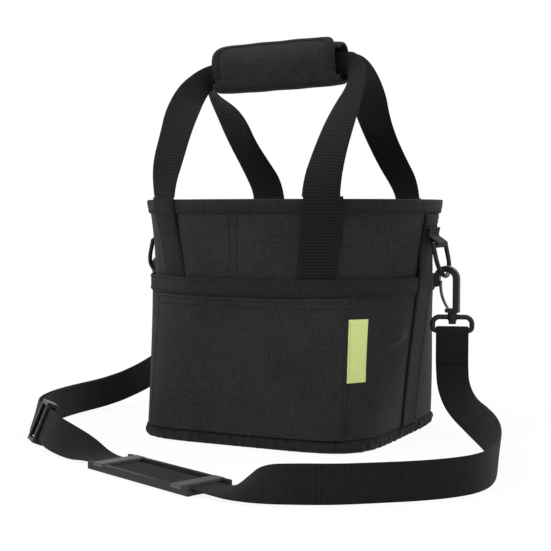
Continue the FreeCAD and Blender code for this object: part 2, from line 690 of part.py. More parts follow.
def hook_gate():
    """Thin springy tongue from the hook's foot to the inner side of its nose."""
    x = HOOK_CURL[0]
    tip = x - CURL_INNER + GATE_CLEAR
    low = STEM_BOTTOM + FOOT_HEIGHT + GATE_CLEAR
    outer = [Vector(tip, 0, GATE_TIP), Vector(tip + GATE_BELLY[0], 0, low + GATE_BELLY[1]),
             Vector(x + GATE_ROOT, 0, low)]
    shift = Vector(GATE_THICK, 0, 0)
    inner = [point + shift for point in reversed(outer)]
    outline = [Part.Arc(*outer).toShape(), Part.makeLine(outer[-1], inner[0]), Part.Arc(*inner).toShape(),
               Part.makeLine(inner[-1], outer[0])]
    gate = Part.Face(Part.Wire(outline)).extrude(Vector(0, HOOK_DEPTH - 1.0, 0))
    gate.translate(Vector(0, -(HOOK_DEPTH - 1.0) / 2, 0))
    return gate


def swivel_eye():
    """Oval wire eye with a hub for the hook's pin in its upper bar."""
    radius = EYE_ROD / 2
    low, high = EYE_BARS
    middle = (low + high) / 2
    end = (high - low) / 2
    half = EYE_HALF_STRAIGHT
    reach = half + end
    foot = reach - EYE_FOOT
    heel = low + EYE_FOOT
    slant = math.sqrt(0.5)
    edges = [Part.makeLine(Vector(-foot, 0, low), Vector(foot, 0, low))]
    for side in (1, -1):
        knee = Vector(side * (foot + EYE_FOOT * slant), 0, heel - EYE_FOOT * slant)
        shoulder = Vector(side * (half + end * slant), 0, middle + end * slant)
        lower = Part.Arc(Vector(side * foot, 0, low), knee, Vector(side * reach, 0, heel)).toShape()
        post = Part.makeLine(Vector(side * reach, 0, heel), Vector(side * reach, 0, middle))
        upper = Part.Arc(Vector(side * reach, 0, middle), shoulder, Vector(side * half, 0, high)).toShape()
        edges += [lower, post, upper]
    edges.append(Part.makeLine(Vector(half, 0, high), Vector(-half, 0, high)))
    ring = rod_along(Part.__sortEdges__(edges), radius)
    hub = Part.makeCylinder(HUB_RADIUS, HUB[1] - HUB[0], Vector(0, 0, HUB[0]))
    bore = Part.makeCylinder(PIN_RADIUS + PIN_CLEAR, HUB[1] - HUB[0] + 2, Vector(0, 0, HUB[0] - 1))
    eye = ring.fuse(hub).cut(bore)
    eye.rotate(Vector(0, 0, 0), Vector(0, 0, 1), EYE_TURN)
    eye.translate(Vector(SWIVEL_X, 0, 0))
    return eye


def end_loop(arm):
    """Strap webbing folded round the eye's lower bar, its two arms hanging down."""
    inner = END_LOOP_INNER
    outer = inner + STRAP_THICK
    half = STRAP_WIDTH / 2
    outline = []
    for radius in (outer, inner):
        outline.append(Part.Arc(Vector(0, -radius, 0), Vector(0, 0, radius), Vector(0, radius, 0)).toShape())
    for y in (-1, 1):
        outline.append(Part.makeLine(Vector(0, y * inner, 0), Vector(0, y * inner, -arm)))
        outline.append(Part.makeLine(Vector(0, y * outer, 0), Vector(0, y * outer, -arm)))
        outline.append(Part.makeLine(Vector(0, y * inner, -arm), Vector(0, y * outer, -arm)))
    wire = Part.Wire(Part.__sortEdges__(outline))
    loop = Part.Face(wire).extrude(Vector(STRAP_WIDTH, 0, 0))
    loop.translate(Vector(-half, 0, EYE_BARS[0]))
    loop.rotate(Vector(0, 0, 0), Vector(0, 0, 1), EYE_TURN)
    loop.translate(Vector(SWIVEL_X, 0, 0))
    return loop


def to_left(shape, lean):
    """Mirror image for the left side. A hanging piece also leans back, along the bow of the ring."""
    other = shape.mirror(Vector(0, 0, 0), Vector(1, 0, 0))
    if lean:
        turn = math.radians(RING_TILT)
        drop = RING_DROP - RING_HALF_WIDTH
        bow = Vector(-RING_BAR[0] - drop * math.sin(turn), 0, RING_BAR[1] - drop * math.cos(turn))
        other.rotate(bow, Vector(1, 0, 0), LEFT_LEAN)
    return other


def side_hardware():
    fixed = {"ring_loop": ring_loop(), "d_ring": side_ring()}
    hanging = {"hook_body": hook_body(), "hook_gate": hook_gate(), "swivel_eye": swivel_eye()}
    parts = {}
    for name, shape in fixed.items():
        parts["right_" + name] = shape
        parts["left_" + name] = to_left(shape, False)
    for name, shape in hanging.items():
        parts["right_" + name] = shape
        parts["left_" + name] = to_left(shape, True)
    parts["right_strap_end"] = end_loop(END_LOOP_ARM)
    parts["left_strap_turn"] = to_left(end_loop(END_LOOP_ARM), True)
    return parts


def adjuster():
    """Three-bar slide: end bars outside the strap, the centre bar inside it, so the strap runs straight."""
    half = ADJUSTER_LENGTH / 2
    rail_low = ADJUSTER_HALF_WIDTH - ADJUSTER_RAIL
    across = (-ADJUSTER_HALF_WIDTH, ADJUSTER_HALF_WIDTH)
    along_strap = Vector(0, 1, 0)
    bars = []
    for x, layer in ((-half + ADJUSTER_BAR / 2, ADJUSTER_OUTER), (0.0, ADJUSTER_CENTRE),
                     (half - ADJUSTER_BAR / 2, ADJUSTER_OUTER)):
        bars.append(rounded_block((x - ADJUSTER_BAR / 2, x + ADJUSTER_BAR / 2), across, layer,
                                  ADJUSTER_BAR_CORNER, along_strap))
    height = (ADJUSTER_CENTRE[0], ADJUSTER_OUTER[1])
    rails = []
    for low in (-ADJUSTER_HALF_WIDTH, rail_low):
        rails.append(rounded_block((-half, half), (low, low + ADJUSTER_RAIL), height,
                                   ADJUSTER_RAIL_CORNER, along_strap))
    return bars[0].fuse(bars[1:] + rails).removeSplitter()


def tail_loop():
    """Sewn end of the strap's return run, folded round the adjuster's centre bar."""
    middle = sum(ADJUSTER_CENTRE) / 2
    inner = (ADJUSTER_CENTRE[1] - ADJUSTER_CENTRE[0]) / 2 + TAIL_LOOP_CLEAR
    outer = inner + STRAP_THICK
    half = STRAP_WIDTH / 2
    nose = ADJUSTER_BAR / 2 - inner + TAIL_LOOP_NOSE
    tube = Part.makeCylinder(outer, STRAP_WIDTH, Vector(nose, -half, middle), Vector(0, 1, 0))
    arms = block((nose - TAIL_LOOP_ARM, nose), (-half, half), (middle - outer, middle + outer))
    bore = Part.makeCylinder(inner, STRAP_WIDTH + 2, Vector(nose, -half - 1, middle), Vector(0, 1, 0))
    slot = block((nose - TAIL_LOOP_ARM - 1, nose), (-half - 1, half + 1), (middle - inner, middle + inner))
    return tube.fuse(arms).cut(bore).cut(slot).removeSplitter()


def shoulder_pad():
    """Moulded pad: a plate with a rail along each side and two bridges over the strap."""
    half = PAD_LENGTH / 2
    side = PAD_WIDTH / 2
    up = Vector(0, 0, 1)
    plate = block((-half + PAD_STEP, half - PAD_STEP), (-side + PAD_STEP, side - PAD_STEP), (0, PAD_PLATE))
    solids = [plate]
    for low in (-side, side - PAD_RAIL):
        solids.append(rounded_block((-half, half), (low, low + PAD_RAIL), (0, PAD_HEIGHT - PAD_STEP),
                                    PAD_RAIL_CORNER, up))
    for middle in (-half + PAD_BRIDGE_INSET + PAD_BRIDGE / 2, half - PAD_BRIDGE_INSET - PAD_BRIDGE / 2):
        solids.append(block((middle - PAD_BRIDGE / 2, middle + PAD_BRIDGE / 2),
                            (-side + PAD_STEP, side - PAD_STEP), (PAD_PLATE + PAD_SLOT, PAD_HEIGHT)))
    return solids[0].fuse(solids[1:]).removeSplitter()


def strap_parts():
    right = station_frames(STRAP_RIGHT)
    left = station_frames(STRAP_LEFT)
    parts = {"strap_right_run": webbing(right, STRAP_WIDTH, STRAP_THICK),
             "strap_left_run": webbing(left, STRAP_WIDTH, STRAP_THICK)}
    back = left[RETURN_FROM:RETURN_TO + 1]
    parts["strap_return_run"] = webbing(back, STRAP_WIDTH, STRAP_THICK, RETURN_OFFSET)
    for name, frames in (("strap_right_run", right), ("strap_left_run", left), ("strap_return_run", back)):
        route_facts(name, frames, STRAP_WIDTH, STRAP_THICK, parts[name])
    centre, along, wide, normal = left[ADJUSTER_AT]
    for name, shape in (("strap_adjuster", adjuster()), ("strap_tail_loop", tail_loop())):
        parts[name] = placed(shape, centre, along * -1, wide, normal * -1)
    pad_along = Vector(PAD_DIRECTION[0], PAD_DIRECTION[1], 0).normalize()
    pad_wide = Vector(-pad_along.y, pad_along.x, 0)
    pad_at = Vector(STRAP_LEFT[0][0][0], STRAP_LEFT[0][0][1], PAD_GROUND)
    parts["shoulder_pad"] = placed(shoulder_pad(), pad_at, pad_along, pad_wide, Vector(0, 0, 1))
    return parts


def handle_parts():
    parts = {}
    for end in ("front", "back"):
        tails = [handle_tail(end + "_left"), handle_tail(end + "_right")]
        parts[end + "_handle_tails"] = Part.makeCompound(tails)
    for name, stations in LEGS.items():
        frames = station_frames(stations)
        flat = Vector(0, 0, 1)
        centre = frames[0][0]
        wide = unit(stations[0][1])
        frames[0] = (centre, flat, wide, flat.cross(wide))
        parts[name + "_leg"] = webbing(frames, HANDLE_WIDTH, WEBBING_THICK, 0.0, GATHERED)
    return parts


def main():
    parts = {}
    groups = (shell_and_layers, pockets_and_strips, handle_parts, grip_parts, side_hardware, strap_parts)
    for group in groups:
        parts.update(group())
    for name, shape in parts.items():
        shape.exportStep("parts/" + name + ".step")
    print(len(parts), "nodes")


main()
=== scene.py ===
import math
import bpy
import numpy as np
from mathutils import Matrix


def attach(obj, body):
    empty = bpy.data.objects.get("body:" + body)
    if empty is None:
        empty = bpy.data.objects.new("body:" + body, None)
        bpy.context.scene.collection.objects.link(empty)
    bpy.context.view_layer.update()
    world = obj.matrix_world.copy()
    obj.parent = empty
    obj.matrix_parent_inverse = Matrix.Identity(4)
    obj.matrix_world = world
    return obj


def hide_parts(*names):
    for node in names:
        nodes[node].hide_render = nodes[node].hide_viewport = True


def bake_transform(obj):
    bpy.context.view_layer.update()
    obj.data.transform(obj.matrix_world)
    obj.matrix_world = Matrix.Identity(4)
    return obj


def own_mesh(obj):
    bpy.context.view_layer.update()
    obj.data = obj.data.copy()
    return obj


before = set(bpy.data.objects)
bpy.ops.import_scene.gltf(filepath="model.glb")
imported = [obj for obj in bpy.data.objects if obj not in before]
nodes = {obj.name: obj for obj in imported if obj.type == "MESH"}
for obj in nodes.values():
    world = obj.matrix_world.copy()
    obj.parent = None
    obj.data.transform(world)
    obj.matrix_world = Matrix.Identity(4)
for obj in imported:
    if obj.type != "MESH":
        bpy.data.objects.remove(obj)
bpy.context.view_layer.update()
scene = bpy.context.scene
mm = 0.001

# Soft black caddy bag, dressed over its CAD frame. Sizes in the dictionaries are millimetres and angles
# degrees; the camera, the stage, and the webbing that follows a route are in metres.
camera = dict(place=(0.5415, -1.152, 0.228), tilt=86.915, turn=26.0, lens=79.38, sensor=36.0,
              clip=(0.05, 30.0))


def placeCamera():
    data = bpy.data.cameras.new("photoCamera")
    data.lens = camera["lens"]
    data.sensor_width = camera["sensor"]
    data.clip_start, data.clip_end = camera["clip"]
    eye = bpy.data.objects.new("photoCamera", data)
    eye.location = camera["place"]
    eye.rotation_euler = (math.radians(camera["tilt"]), 0.0, math.radians(camera["turn"]))
    scene.collection.objects.link(eye)
    scene.camera = eye


placeCamera()
print("camera placed")


# shader nodes: a value goes on a socket as it is, and another node's socket is linked to it

def feed(tree, socket, value):
    if isinstance(value, bpy.types.NodeSocket):
        tree.links.new(value, socket)
    else:
        socket.default_value = value


def setInputs(tree, node, values):
    for label, value in values.items():
        feed(tree, node.inputs[label], value)
    return node


def calc(tree, operation, *values):
    node = tree.nodes.new("ShaderNodeMath")
    node.operation = operation
    for socket, value in zip(node.inputs, values):
        feed(tree, socket, value)
    return node.outputs[0]


def stretch(tree, vector, factors):
    node = tree.nodes.new("ShaderNodeVectorMath")
    node.operation = "MULTIPLY"
    feed(tree, node.inputs[0], vector)
    node.inputs[1].default_value = factors
    return node.outputs[0]


def cloud(tree, vector, scale, detail=2.0):
    values = {"Vector": vector, "Scale": scale, "Detail": detail}
    return setInputs(tree, tree.nodes.new("ShaderNodeTexNoise"), values).outputs["Fac"]


def blendColours(tree, share, dark, light):
    node = tree.nodes.new("ShaderNodeMix")
    node.data_type = "RGBA"
    return setInputs(tree, node, {"Factor": share, "A": dark, "B": light}).outputs["Result"]


# node groups: each puts out values that change over the cloth

def newGroup(name, inputs, outputs):
    group = bpy.data.node_groups.new(name, "ShaderNodeTree")
    for way, sockets in (("INPUT", inputs), ("OUTPUT", outputs)):
        for label, kind in sockets.items():
            group.interface.new_socket(label, in_out=way, socket_type="NodeSocket" + kind)
    return group, group.nodes.new("NodeGroupInput").outputs, group.nodes.new("NodeGroupOutput")


def threadGroup(name):
    group, given, put = newGroup(name, {"Cloth": "Vector", "Per Metre": "Float"},
                                 {"Height": "Float", "Shade": "Float"})
    split = group.nodes.new("ShaderNodeSeparateXYZ")
    group.links.new(given["Cloth"], split.inputs[0])
    return group, given, put, split.outputs


def threadWave(group, along, perMetre):
    # so many half waves in each metre of the cloth map
    return calc(group, "SINE", calc(group, "MULTIPLY", along, calc(group, "MULTIPLY", perMetre, math.pi)))


# the first number of each look's shade is painted shade: colour darker where the weave is low and in the
# grooves between the ribs
weaveLook = dict(slubs=((900.0, 60.0, 1.0), (60.0, 900.0, 1.0)), height=(0.6, 0.7), shade=(0.8, 1.5, -0.65))
ribLook = dict(cords=1250.0, cordHeight=0.12, full=0.6, worn=(90.0, 500.0, 1.0), shade=(0.85, 0.7, -0.4))
dyeLook = dict(patches=17.0, patchDetail=4.0, lint=420.0, shares=(0.55, 0.8, 0.35, 0.35), rough=(0.2, 0.66))
mouldLook = dict(peel=900.0, rub=(60.0, 60.0, 240.0), rubDetail=5.0)


# plain weave: height = sin(u) * sin(v) over the threads; shade = slubs drawn out along both threads, plus
# painted shade that darkens the low points of the weave by its height
def weaveGroup():
    group, given, put, along = threadGroup("plainWeave")
    waves = [threadWave(group, along[axis], given["Per Metre"]) for axis in (0, 1)]
    weave = calc(group, "MULTIPLY_ADD", calc(group, "MULTIPLY", *waves), 0.5, 0.5)
    drawn = [cloud(group, stretch(group, given["Cloth"], way), 1.0) for way in weaveLook["slubs"]]
    slub = calc(group, "MULTIPLY", calc(group, "ADD", *drawn), 0.5)
    slubHeight, weaveHeight = weaveLook["height"]
    paintedWeaveShade, slubShade, level = weaveLook["shade"]
    height = calc(group, "MULTIPLY_ADD", slub, slubHeight, calc(group, "MULTIPLY", weave, weaveHeight))
    shade = calc(group, "MULTIPLY_ADD", slub, slubShade, level)
    # painted shade: the weave's low points are made darker by their height
    shade = calc(group, "MULTIPLY_ADD", weave, paintedWeaveShade, shade)
    setInputs(group, put, {"Height": height, "Shade": shade})
    return group


# ribbed webbing or tape: height = |sin| of the ribs along it, with fine cords across; shade = worn streaks,
# plus painted shade that darkens the grooves between the ribs
def ribGroup():
    group, given, put, along = threadGroup("crossRibs")
    rib = calc(group, "ABSOLUTE", threadWave(group, along[1], given["Per Metre"]))
    rib = calc(group, "POWER", rib, ribLook["full"])
    cords = threadWave(group, along[0], ribLook["cords"])
    worn = cloud(group, stretch(group, given["Cloth"], ribLook["worn"]), 1.0)
    paintedRibShade, wornShade, level = ribLook["shade"]
    height = calc(group, "MULTIPLY_ADD", cords, ribLook["cordHeight"], rib)
    shade = calc(group, "MULTIPLY_ADD", worn, wornShade, level)
    # painted shade: the grooves between the ribs are made darker by the ribs' height
    shade = calc(group, "MULTIPLY_ADD", rib, paintedRibShade, shade)
    setInputs(group, put, {"Height": height, "Shade": shade})
    return group


# dyed cloth: colour between dark and light by the thread's shade, which holds slubs and painted shade
# between the threads, and by broad patches of lint and fade
def dyeGroup():
    sockets = {"Place": "Vector", "Shade": "Float", "Dark": "Color", "Light": "Color"}
    group, given, put = newGroup("fadedDye", sockets, {"Colour": "Color", "Roughness": "Float"})
    patches = cloud(group, given["Place"], dyeLook["patches"], dyeLook["patchDetail"])
    lint = cloud(group, given["Place"], dyeLook["lint"])
    patchShare, threadShare, lintShare, level = dyeLook["shares"]
    share = calc(group, "MULTIPLY", given["Shade"], threadShare)
    share = calc(group, "MULTIPLY_ADD", patches, patchShare, share)
    share = calc(group, "MULTIPLY_ADD", lint, lintShare, calc(group, "SUBTRACT", share, level))
    setInputs(group, put, {"Colour": blendColours(group, share, given["Dark"], given["Light"]),
                           "Roughness": calc(group, "MULTIPLY_ADD", patches, *dyeLook["rough"])})
    return group


# moulded plastic: fine orange peel in the height, and dull rub marks in the roughness
def mouldGroup():
    group, given, put = newGroup("mouldedSkin", {"Place": "Vector"}, {"Height": "Float", "Rub": "Float"})
    rub = cloud(group, stretch(group, given["Place"], mouldLook["rub"]), 1.0, mouldLook["rubDetail"])
    setInputs(group, put, {"Height": cloud(group, given["Place"], mouldLook["peel"]), "Rub": rub})
    return group


weave = weaveGroup()
ribs = ribGroup()
dye = dyeGroup()
mould = mouldGroup()


def placeGroup(tree, group, values):
    node = tree.nodes.new("ShaderNodeGroup")
    node.node_tree = group
    return setInputs(tree, node, values).outputs


def newFinish(name):
    material = bpy.data.materials.new(name)
    material.use_nodes = True
    tree = material.node_tree
    return material, tree, tree.nodes["Principled BSDF"], tree.nodes.new("ShaderNodeTexCoord").outputs


def addRelief(tree, shader, height, strength, depth):
    bump = setInputs(tree, tree.nodes.new("ShaderNodeBump"),
                     {"Strength": strength, "Distance": depth * mm, "Height": height})
    tree.links.new(bump.outputs["Normal"], shader.inputs["Normal"])


clothLook = {"Specular IOR Level": 0.08, "Sheen Roughness": 0.45}
plasticLook = {"Specular IOR Level": 0.2}
relief = dict(cloth=0.8, plastic=0.35, rubbed=0.22)


def clothFinish(name, pattern, perMetre, dark, light, depth, sheen=0.05):
    material, tree, shader, coords = newFinish(name)
    threads = placeGroup(tree, pattern, {"Per Metre": perMetre, "Cloth": coords["UV"]})
    dyed = placeGroup(tree, dye, {"Place": coords["Object"], "Shade": threads["Shade"],
                                  "Dark": (*dark, 1.0), "Light": (*light, 1.0)})
    setInputs(tree, shader, {"Base Color": dyed["Colour"], "Roughness": dyed["Roughness"],
                             "Sheen Weight": sheen, **clothLook})
    addRelief(tree, shader, threads["Height"], relief["cloth"], depth)
    return material


def plasticFinish(name, dark, light, roughness, depth):
    material, tree, shader, coords = newFinish(name)
    skin = placeGroup(tree, mould, {"Place": coords["Object"]})
    colour = blendColours(tree, skin["Rub"], (*dark, 1.0), (*light, 1.0))
    dull = calc(tree, "MULTIPLY_ADD", skin["Rub"], relief["rubbed"], roughness)
    setInputs(tree, shader, {"Base Color": colour, "Roughness": dull, **plasticLook})
    addRelief(tree, shader, skin["Height"], relief["plastic"], depth)
    return material


# name, pattern, threads or ribs to the metre, darkest and lightest colour, depth of the relief
black = (0.003, 0.003, 0.0035)
webBlack = (0.0015, 0.0015, 0.002)
oxford = clothFinish("oxfordCloth", weave, 640.0, black, (0.034, 0.034, 0.036), 0.34)
liningCloth = clothFinish("liningCloth", weave, 1000.0, (0.010, 0.010, 0.011), (0.036, 0.036, 0.038), 0.15)
gripCloth = clothFinish("gripCloth", weave, 640.0, black, (0.035, 0.035, 0.037), 0.34)
handleWebbing = clothFinish("handleWebbing", ribs, 330.0, webBlack, (0.0145, 0.0145, 0.016), 0.55)
strapWebbing = clothFinish("strapWebbing", ribs, 430.0, webBlack, (0.0140, 0.0140, 0.0155), 0.42)
edgeTape = clothFinish("edgeTape", ribs, 480.0, (0.002, 0.002, 0.0025), (0.0240, 0.0240, 0.0255), 0.45)
sewnLabel = clothFinish("sewnLabel", weave, 1500.0, (0.50, 0.57, 0.19), (0.68, 0.74, 0.30), 0.10)
pileTape = clothFinish("pileTape", weave, 700.0, (0.006, 0.006, 0.0065), (0.018, 0.018, 0.0195), 0.60, 0.3)
thread = clothFinish("sewingThread", ribs, 1400.0, (0.004, 0.004, 0.0045), (0.022, 0.022, 0.024), 0.10)
paleThread = clothFinish("labelThread", ribs, 1400.0, (0.42, 0.47, 0.18), (0.60, 0.65, 0.30), 0.10)
hardwarePlastic = plasticFinish("hardwarePlastic", (0.004, 0.004, 0.0045), (0.013, 0.013, 0.014), 0.30, 0.05)
boardPlastic = plasticFinish("boardPlastic", (0.030, 0.030, 0.030), (0.055, 0.055, 0.055), 0.5, 0.08)
print("finishes made")


# meshes: whole arrays of points, put in with foreach_set

def unitRows(v):
    return v / np.linalg.norm(v, axis=-1, keepdims=True)


def runLength(points):
    # distance along the first axis of an array of points
    steps = np.linalg.norm(np.diff(points, axis=0), axis=-1)
    return np.concatenate([np.zeros_like(steps[:1]), np.cumsum(steps, 0)])


def spread(*values):
    return np.stack(np.broadcast_arrays(*values), -1)


def gridQuads(rows, cols, wrapRows=False, wrapCols=False):
    # corner numbers of each cell, and the same corners counted without wrapping, for the cloth map
    i = np.arange(rows if wrapRows else rows - 1)[:, None]
    j = np.arange(cols if wrapCols else cols - 1)[None, :]
    steps = [(i, j), (i, j + 1), (i + 1, j + 1), (i + 1, j)]
    quads = np.stack([(a % rows) * cols + b % cols for a, b in steps], -1)
    cells = np.stack([a * (cols + 1) + b for a, b in steps], -1)
    return quads.reshape(-1, 4), cells.reshape(-1, 4)


def addPiece(name, points, quads, cloth, material):
    # a closed shell: its faces are turned outwards by the sign of the volume that they enclose
    p = points[quads]
    turn = np.cross(p[:, 2] - p[:, 0], p[:, 3] - p[:, 1])
    if np.einsum("ij,ij->", p.mean(1), turn) < 0:
        quads = quads[:, ::-1]
        cloth = cloth[:, ::-1]
    mesh = bpy.data.meshes.new(name)
    mesh.vertices.add(len(points))
    mesh.vertices.foreach_set("co", points.ravel())
    mesh.loops.add(quads.size)
    mesh.loops.foreach_set("vertex_index", quads.ravel())
    mesh.polygons.add(len(quads))
    mesh.polygons.foreach_set("loop_start", np.arange(0, quads.size, 4))
    mesh.polygons.foreach_set("use_smooth", np.ones(len(quads), bool))
    mesh.update(calc_edges=True)
    mesh.uv_layers.new(name="cloth").data.foreach_set("uv", np.ascontiguousarray(cloth).ravel())
    mesh.validate()
    piece = bpy.data.objects.new(name, mesh)
    piece.data.materials.append(material)
    scene.collection.objects.link(piece)
    return piece


def addLoft(name, sections, cloth, material, wrapRows=False):
    # closed profiles (rows, columns, 3) joined along the rows, with flat caps unless the rows close too
    rows, cols = sections.shape[:2]
    quads, cells = gridQuads(rows, cols, wrapRows, True)
    mapped = cloth.reshape(-1, 2)[cells]
    if not wrapRows:
        j = np.arange(cols // 2 - 1)
        cap = np.stack([j, j + 1, cols - 2 - j, cols - 1 - j], -1)
        first = cap[:, ::-1]
        capMap = cloth.reshape(-1, 2)[np.concatenate([first, cap + (rows - 1) * (cols + 1)])]
        quads = np.concatenate([quads, first, cap + (rows - 1) * cols])
        mapped = np.concatenate([mapped, capMap])
    return addPiece(name, sections.reshape(-1, 3), quads, mapped, material)


def addSheet(name, outer, inner, cloth, material):
    # sheet with thickness: the profile runs out along the outer face and back along the inner one
    sections = np.concatenate([outer, inner[:, ::-1]], 1)
    there = np.concatenate([cloth, cloth[:, ::-1], cloth[:, :1]], 1)
    return addLoft(name, sections, there, material)


# edges of cloth: where the second step lies, how full the first two are, and the edge's own width at the
# sides (share of the sheet) and at the ends (mm)
soft = dict(step=0.35, full=(0.3, 0.8), side=0.01, end=1.2)


def softEdge(count, edge):
    # parameter 0 to 1 with two close steps at each end, and how full the cloth's thickness is there
    near = edge * soft["step"]
    t = np.concatenate([[0, near], np.linspace(edge, 1 - edge, count), [1 - near, 1]])
    full = np.ones(len(t))
    full[[0, -1]], full[[1, -2]] = soft["full"]
    return t, full


def ramp(value, span, levels):
    # smooth step over the span, from the first level to the second: low + (high - low) * (3 s^2 - 2 s^3)
    s = np.clip((value - span[0]) / (span[1] - span[0]), 0, 1)
    return levels[0] + (levels[1] - levels[0]) * s * s * (3 - 2 * s)


def layerOn(lift, thick):
    # both faces of a layer that rises and falls
    return lift, lambda where: lift(where) + thick


def readAt(where, *values):
    # numbers stay as they are, functions are worked out there
    return [value(where) if callable(value) else value for value in values]


def dress(piece, body, slot, *stands):
    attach(piece, body)
    if stands:
        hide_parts(*stands)
    return piece


def finishNode(name, material):
    nodes[name].data.materials.clear()
    nodes[name].data.materials.append(material)


# sewing: each stitch is a short bar of thread with thin ends, laid along a line on the cloth
stitch = dict(long=3.1, pitch=4.0, thick=0.75, lift=0.12, stations=(-0.5, -0.3, 0.3, 0.5),
              sizes=(0.25, 0.5, 0.5, 0.25), rises=(-0.2, 0.4, 0.4, -0.2), flat=0.8, map=(0.5, 3.0))


def stitchBars(line, normal):
    # four sections along each bar, each a small flat diamond
    run = runLength(line)
    count = max(1, int(run[-1] / (stitch["pitch"] * mm)))
    pitch = run[-1] / count
    middle = (np.arange(count) + 0.5) * pitch
    at = middle[:, None] + np.array(stitch["stations"]) * pitch * stitch["long"] / stitch["pitch"]
    place = np.stack([np.interp(at, run, line[:, k]) for k in range(3)], -1)
    out = unitRows(np.stack([np.interp(at, run, normal[:, k]) for k in range(3)], -1))
    ahead = unitRows(place[:, -1:] - place[:, :1])
    side = unitRows(np.cross(out, np.broadcast_to(ahead, out.shape)))
    size = stitch["thick"] * mm * np.array(stitch["sizes"])[None, :, None]
    rise = np.array(stitch["rises"])[None, :, None] * stitch["thick"] * mm + stitch["lift"] * mm
    centre = place + out * rise
    across, up = side * size, out * size * stitch["flat"]
    return np.stack([centre + across, centre + up, centre - across, centre - up], 2).reshape(-1, 3)


def addStitches(name, lines, material, body, slot):
    points = np.concatenate([stitchBars(line, normal) for line, normal in lines])
    quads = gridQuads(4, 4, False, True)[0]
    quads = np.concatenate([quads, [[3, 2, 1, 0]], [[12, 13, 14, 15]]])
    quads = (np.arange(len(points) // 16)[:, None, None] * 16 + quads).reshape(-1, 4)
    wide, long = np.array(stitch["map"]) * mm
    cloth = np.tile(np.array([[0, 0], [wide, 0], [wide, long], [0, long]]), (len(quads), 1, 1))
    dress(addPiece(name, points, quads, cloth, material), body, slot)


# the wall: a superellipse that changes from base to rim, the same as the CAD's
wall = dict(rim=237.0, width=(123.5, 136.0, 155.0), depth=(120.5, 124.5, 127.0), corner=(5.2, 2.7, 2.15))
# swells: height, waves round the bag, where they start, how they lean, and half waves up the wall
sagging = dict(swells=((2.2, 4, 0.7, 0.0, 1), (1.2, 9, 2.0, 3.0, 2), (0.40, 23, 0.0, 5.0, 1)),
               seam=(1.6, 0.25), fadeTop=240.0, fade=40.0)


def upWall(values, z):
    # parabola through the values at the base, half way up and at the rim
    s = z / wall["rim"]
    return values[0] * (1 - s) * (1 - 2 * s) + values[1] * 4 * s * (1 - s) + values[2] * s * (2 * s - 1)


def sag(angle, z):
    # soft hollows and swells of the cloth, nothing at the base, the rim and the side seams: the sum of
    # height * sin(waves * angle + start + lean * s) * sin(up * pi * s)
    s = z / wall["rim"]
    steep, flat = sagging["seam"]
    seam = np.clip(np.abs(np.sin(angle)) * steep - flat, 0, 1)
    total = sum(height * np.sin(waves * angle + start + lean * s) * np.sin(up * np.pi * s)
                for height, waves, start, lean, up in sagging["swells"])
    return total * seam * np.clip((sagging["fadeTop"] - z) / sagging["fade"], 0, 1)


def wallPoints(angle, z, out):
    # r = (|cos/a|^n + |sin/b|^n)^(-1/n), with a and b pushed out by the layer and the sag
    angle, z, out = np.broadcast_arrays(angle, z, out)
    push = out + sag(angle, z)
    a = upWall(wall["width"], z) + push
    b = upWall(wall["depth"], z) + push
    n = upWall(wall["corner"], z)
    r = (np.abs(np.cos(angle) / a) ** n + np.abs(np.sin(angle) / b) ** n) ** (-1 / n)
    return np.stack([r * np.cos(angle), r * np.sin(angle), z], -1) * mm


def wallLine(angle, z, out):
    # a line of sewing on the wall: its points and the directions out of the cloth
    angle, z = np.broadcast_arrays(np.asarray(angle, float), np.asarray(z, float))
    step, lift = 0.002, 0.5
    across = wallPoints(angle + step, z, out) - wallPoints(angle - step, z, out)
    up = wallPoints(angle, z + lift, out) - wallPoints(angle, z - lift, out)
    return wallPoints(angle, z, out), unitRows(np.cross(across, up))


def angleAtX(x, z, side):
    # polar angle of the wall at a given X, from y = b * (1 - |x / a|^n)^(1 / n); front is side -1, back +1
    a = upWall(wall["width"], z)
    b = upWall(wall["depth"], z)
    n = upWall(wall["corner"], z)
    y = b * (1 - (np.abs(x) / a) ** n) ** (1 / n)
    angle = np.arctan2(side * y, x)
    return angle if side > 0 else angle + 2 * np.pi


def atX(x, side):
    return lambda z: angleAtX(x + 0 * z, z, side)


def addWallSheet(name, span, heights, layer, material, grid, swell=None, alongWall=False):
    # point = wall at (angle, z), pushed out to the middle of the layer and half its thickness each way; both
    # ends of the span and both faces of the layer are numbers or functions of the height
    u, fullU = softEdge(grid[0], soft["side"])
    v, fullV = softEdge(grid[1], soft["end"] / (heights[1] - heights[0]))
    z = (heights[0] + (heights[1] - heights[0]) * v)[:, None]
    start, end, low, high = readAt(z, *span, *layer)
    angle = start + (end - start) * u[None, :]
    half = (high - low) / 2 * np.minimum(fullV[:, None], fullU[None, :])
    middle = (high + low) / 2 + (swell(angle, z) if swell else 0.0)
    outer = wallPoints(angle, z, middle + half)
    inner = wallPoints(angle, z, middle - half)
    run = runLength(outer.swapaxes(0, 1)).T
    run = run - run[:, len(u) // 2][:, None]
    cloth = spread(z * mm, run) if alongWall else spread(run, z * mm)
    return addSheet(name, outer, inner, cloth, material)


def addCloth(size, rests, slot, node, name, *form, **more):
    piece = dress(addWallSheet(name, *form, **more), "bag", slot, node)


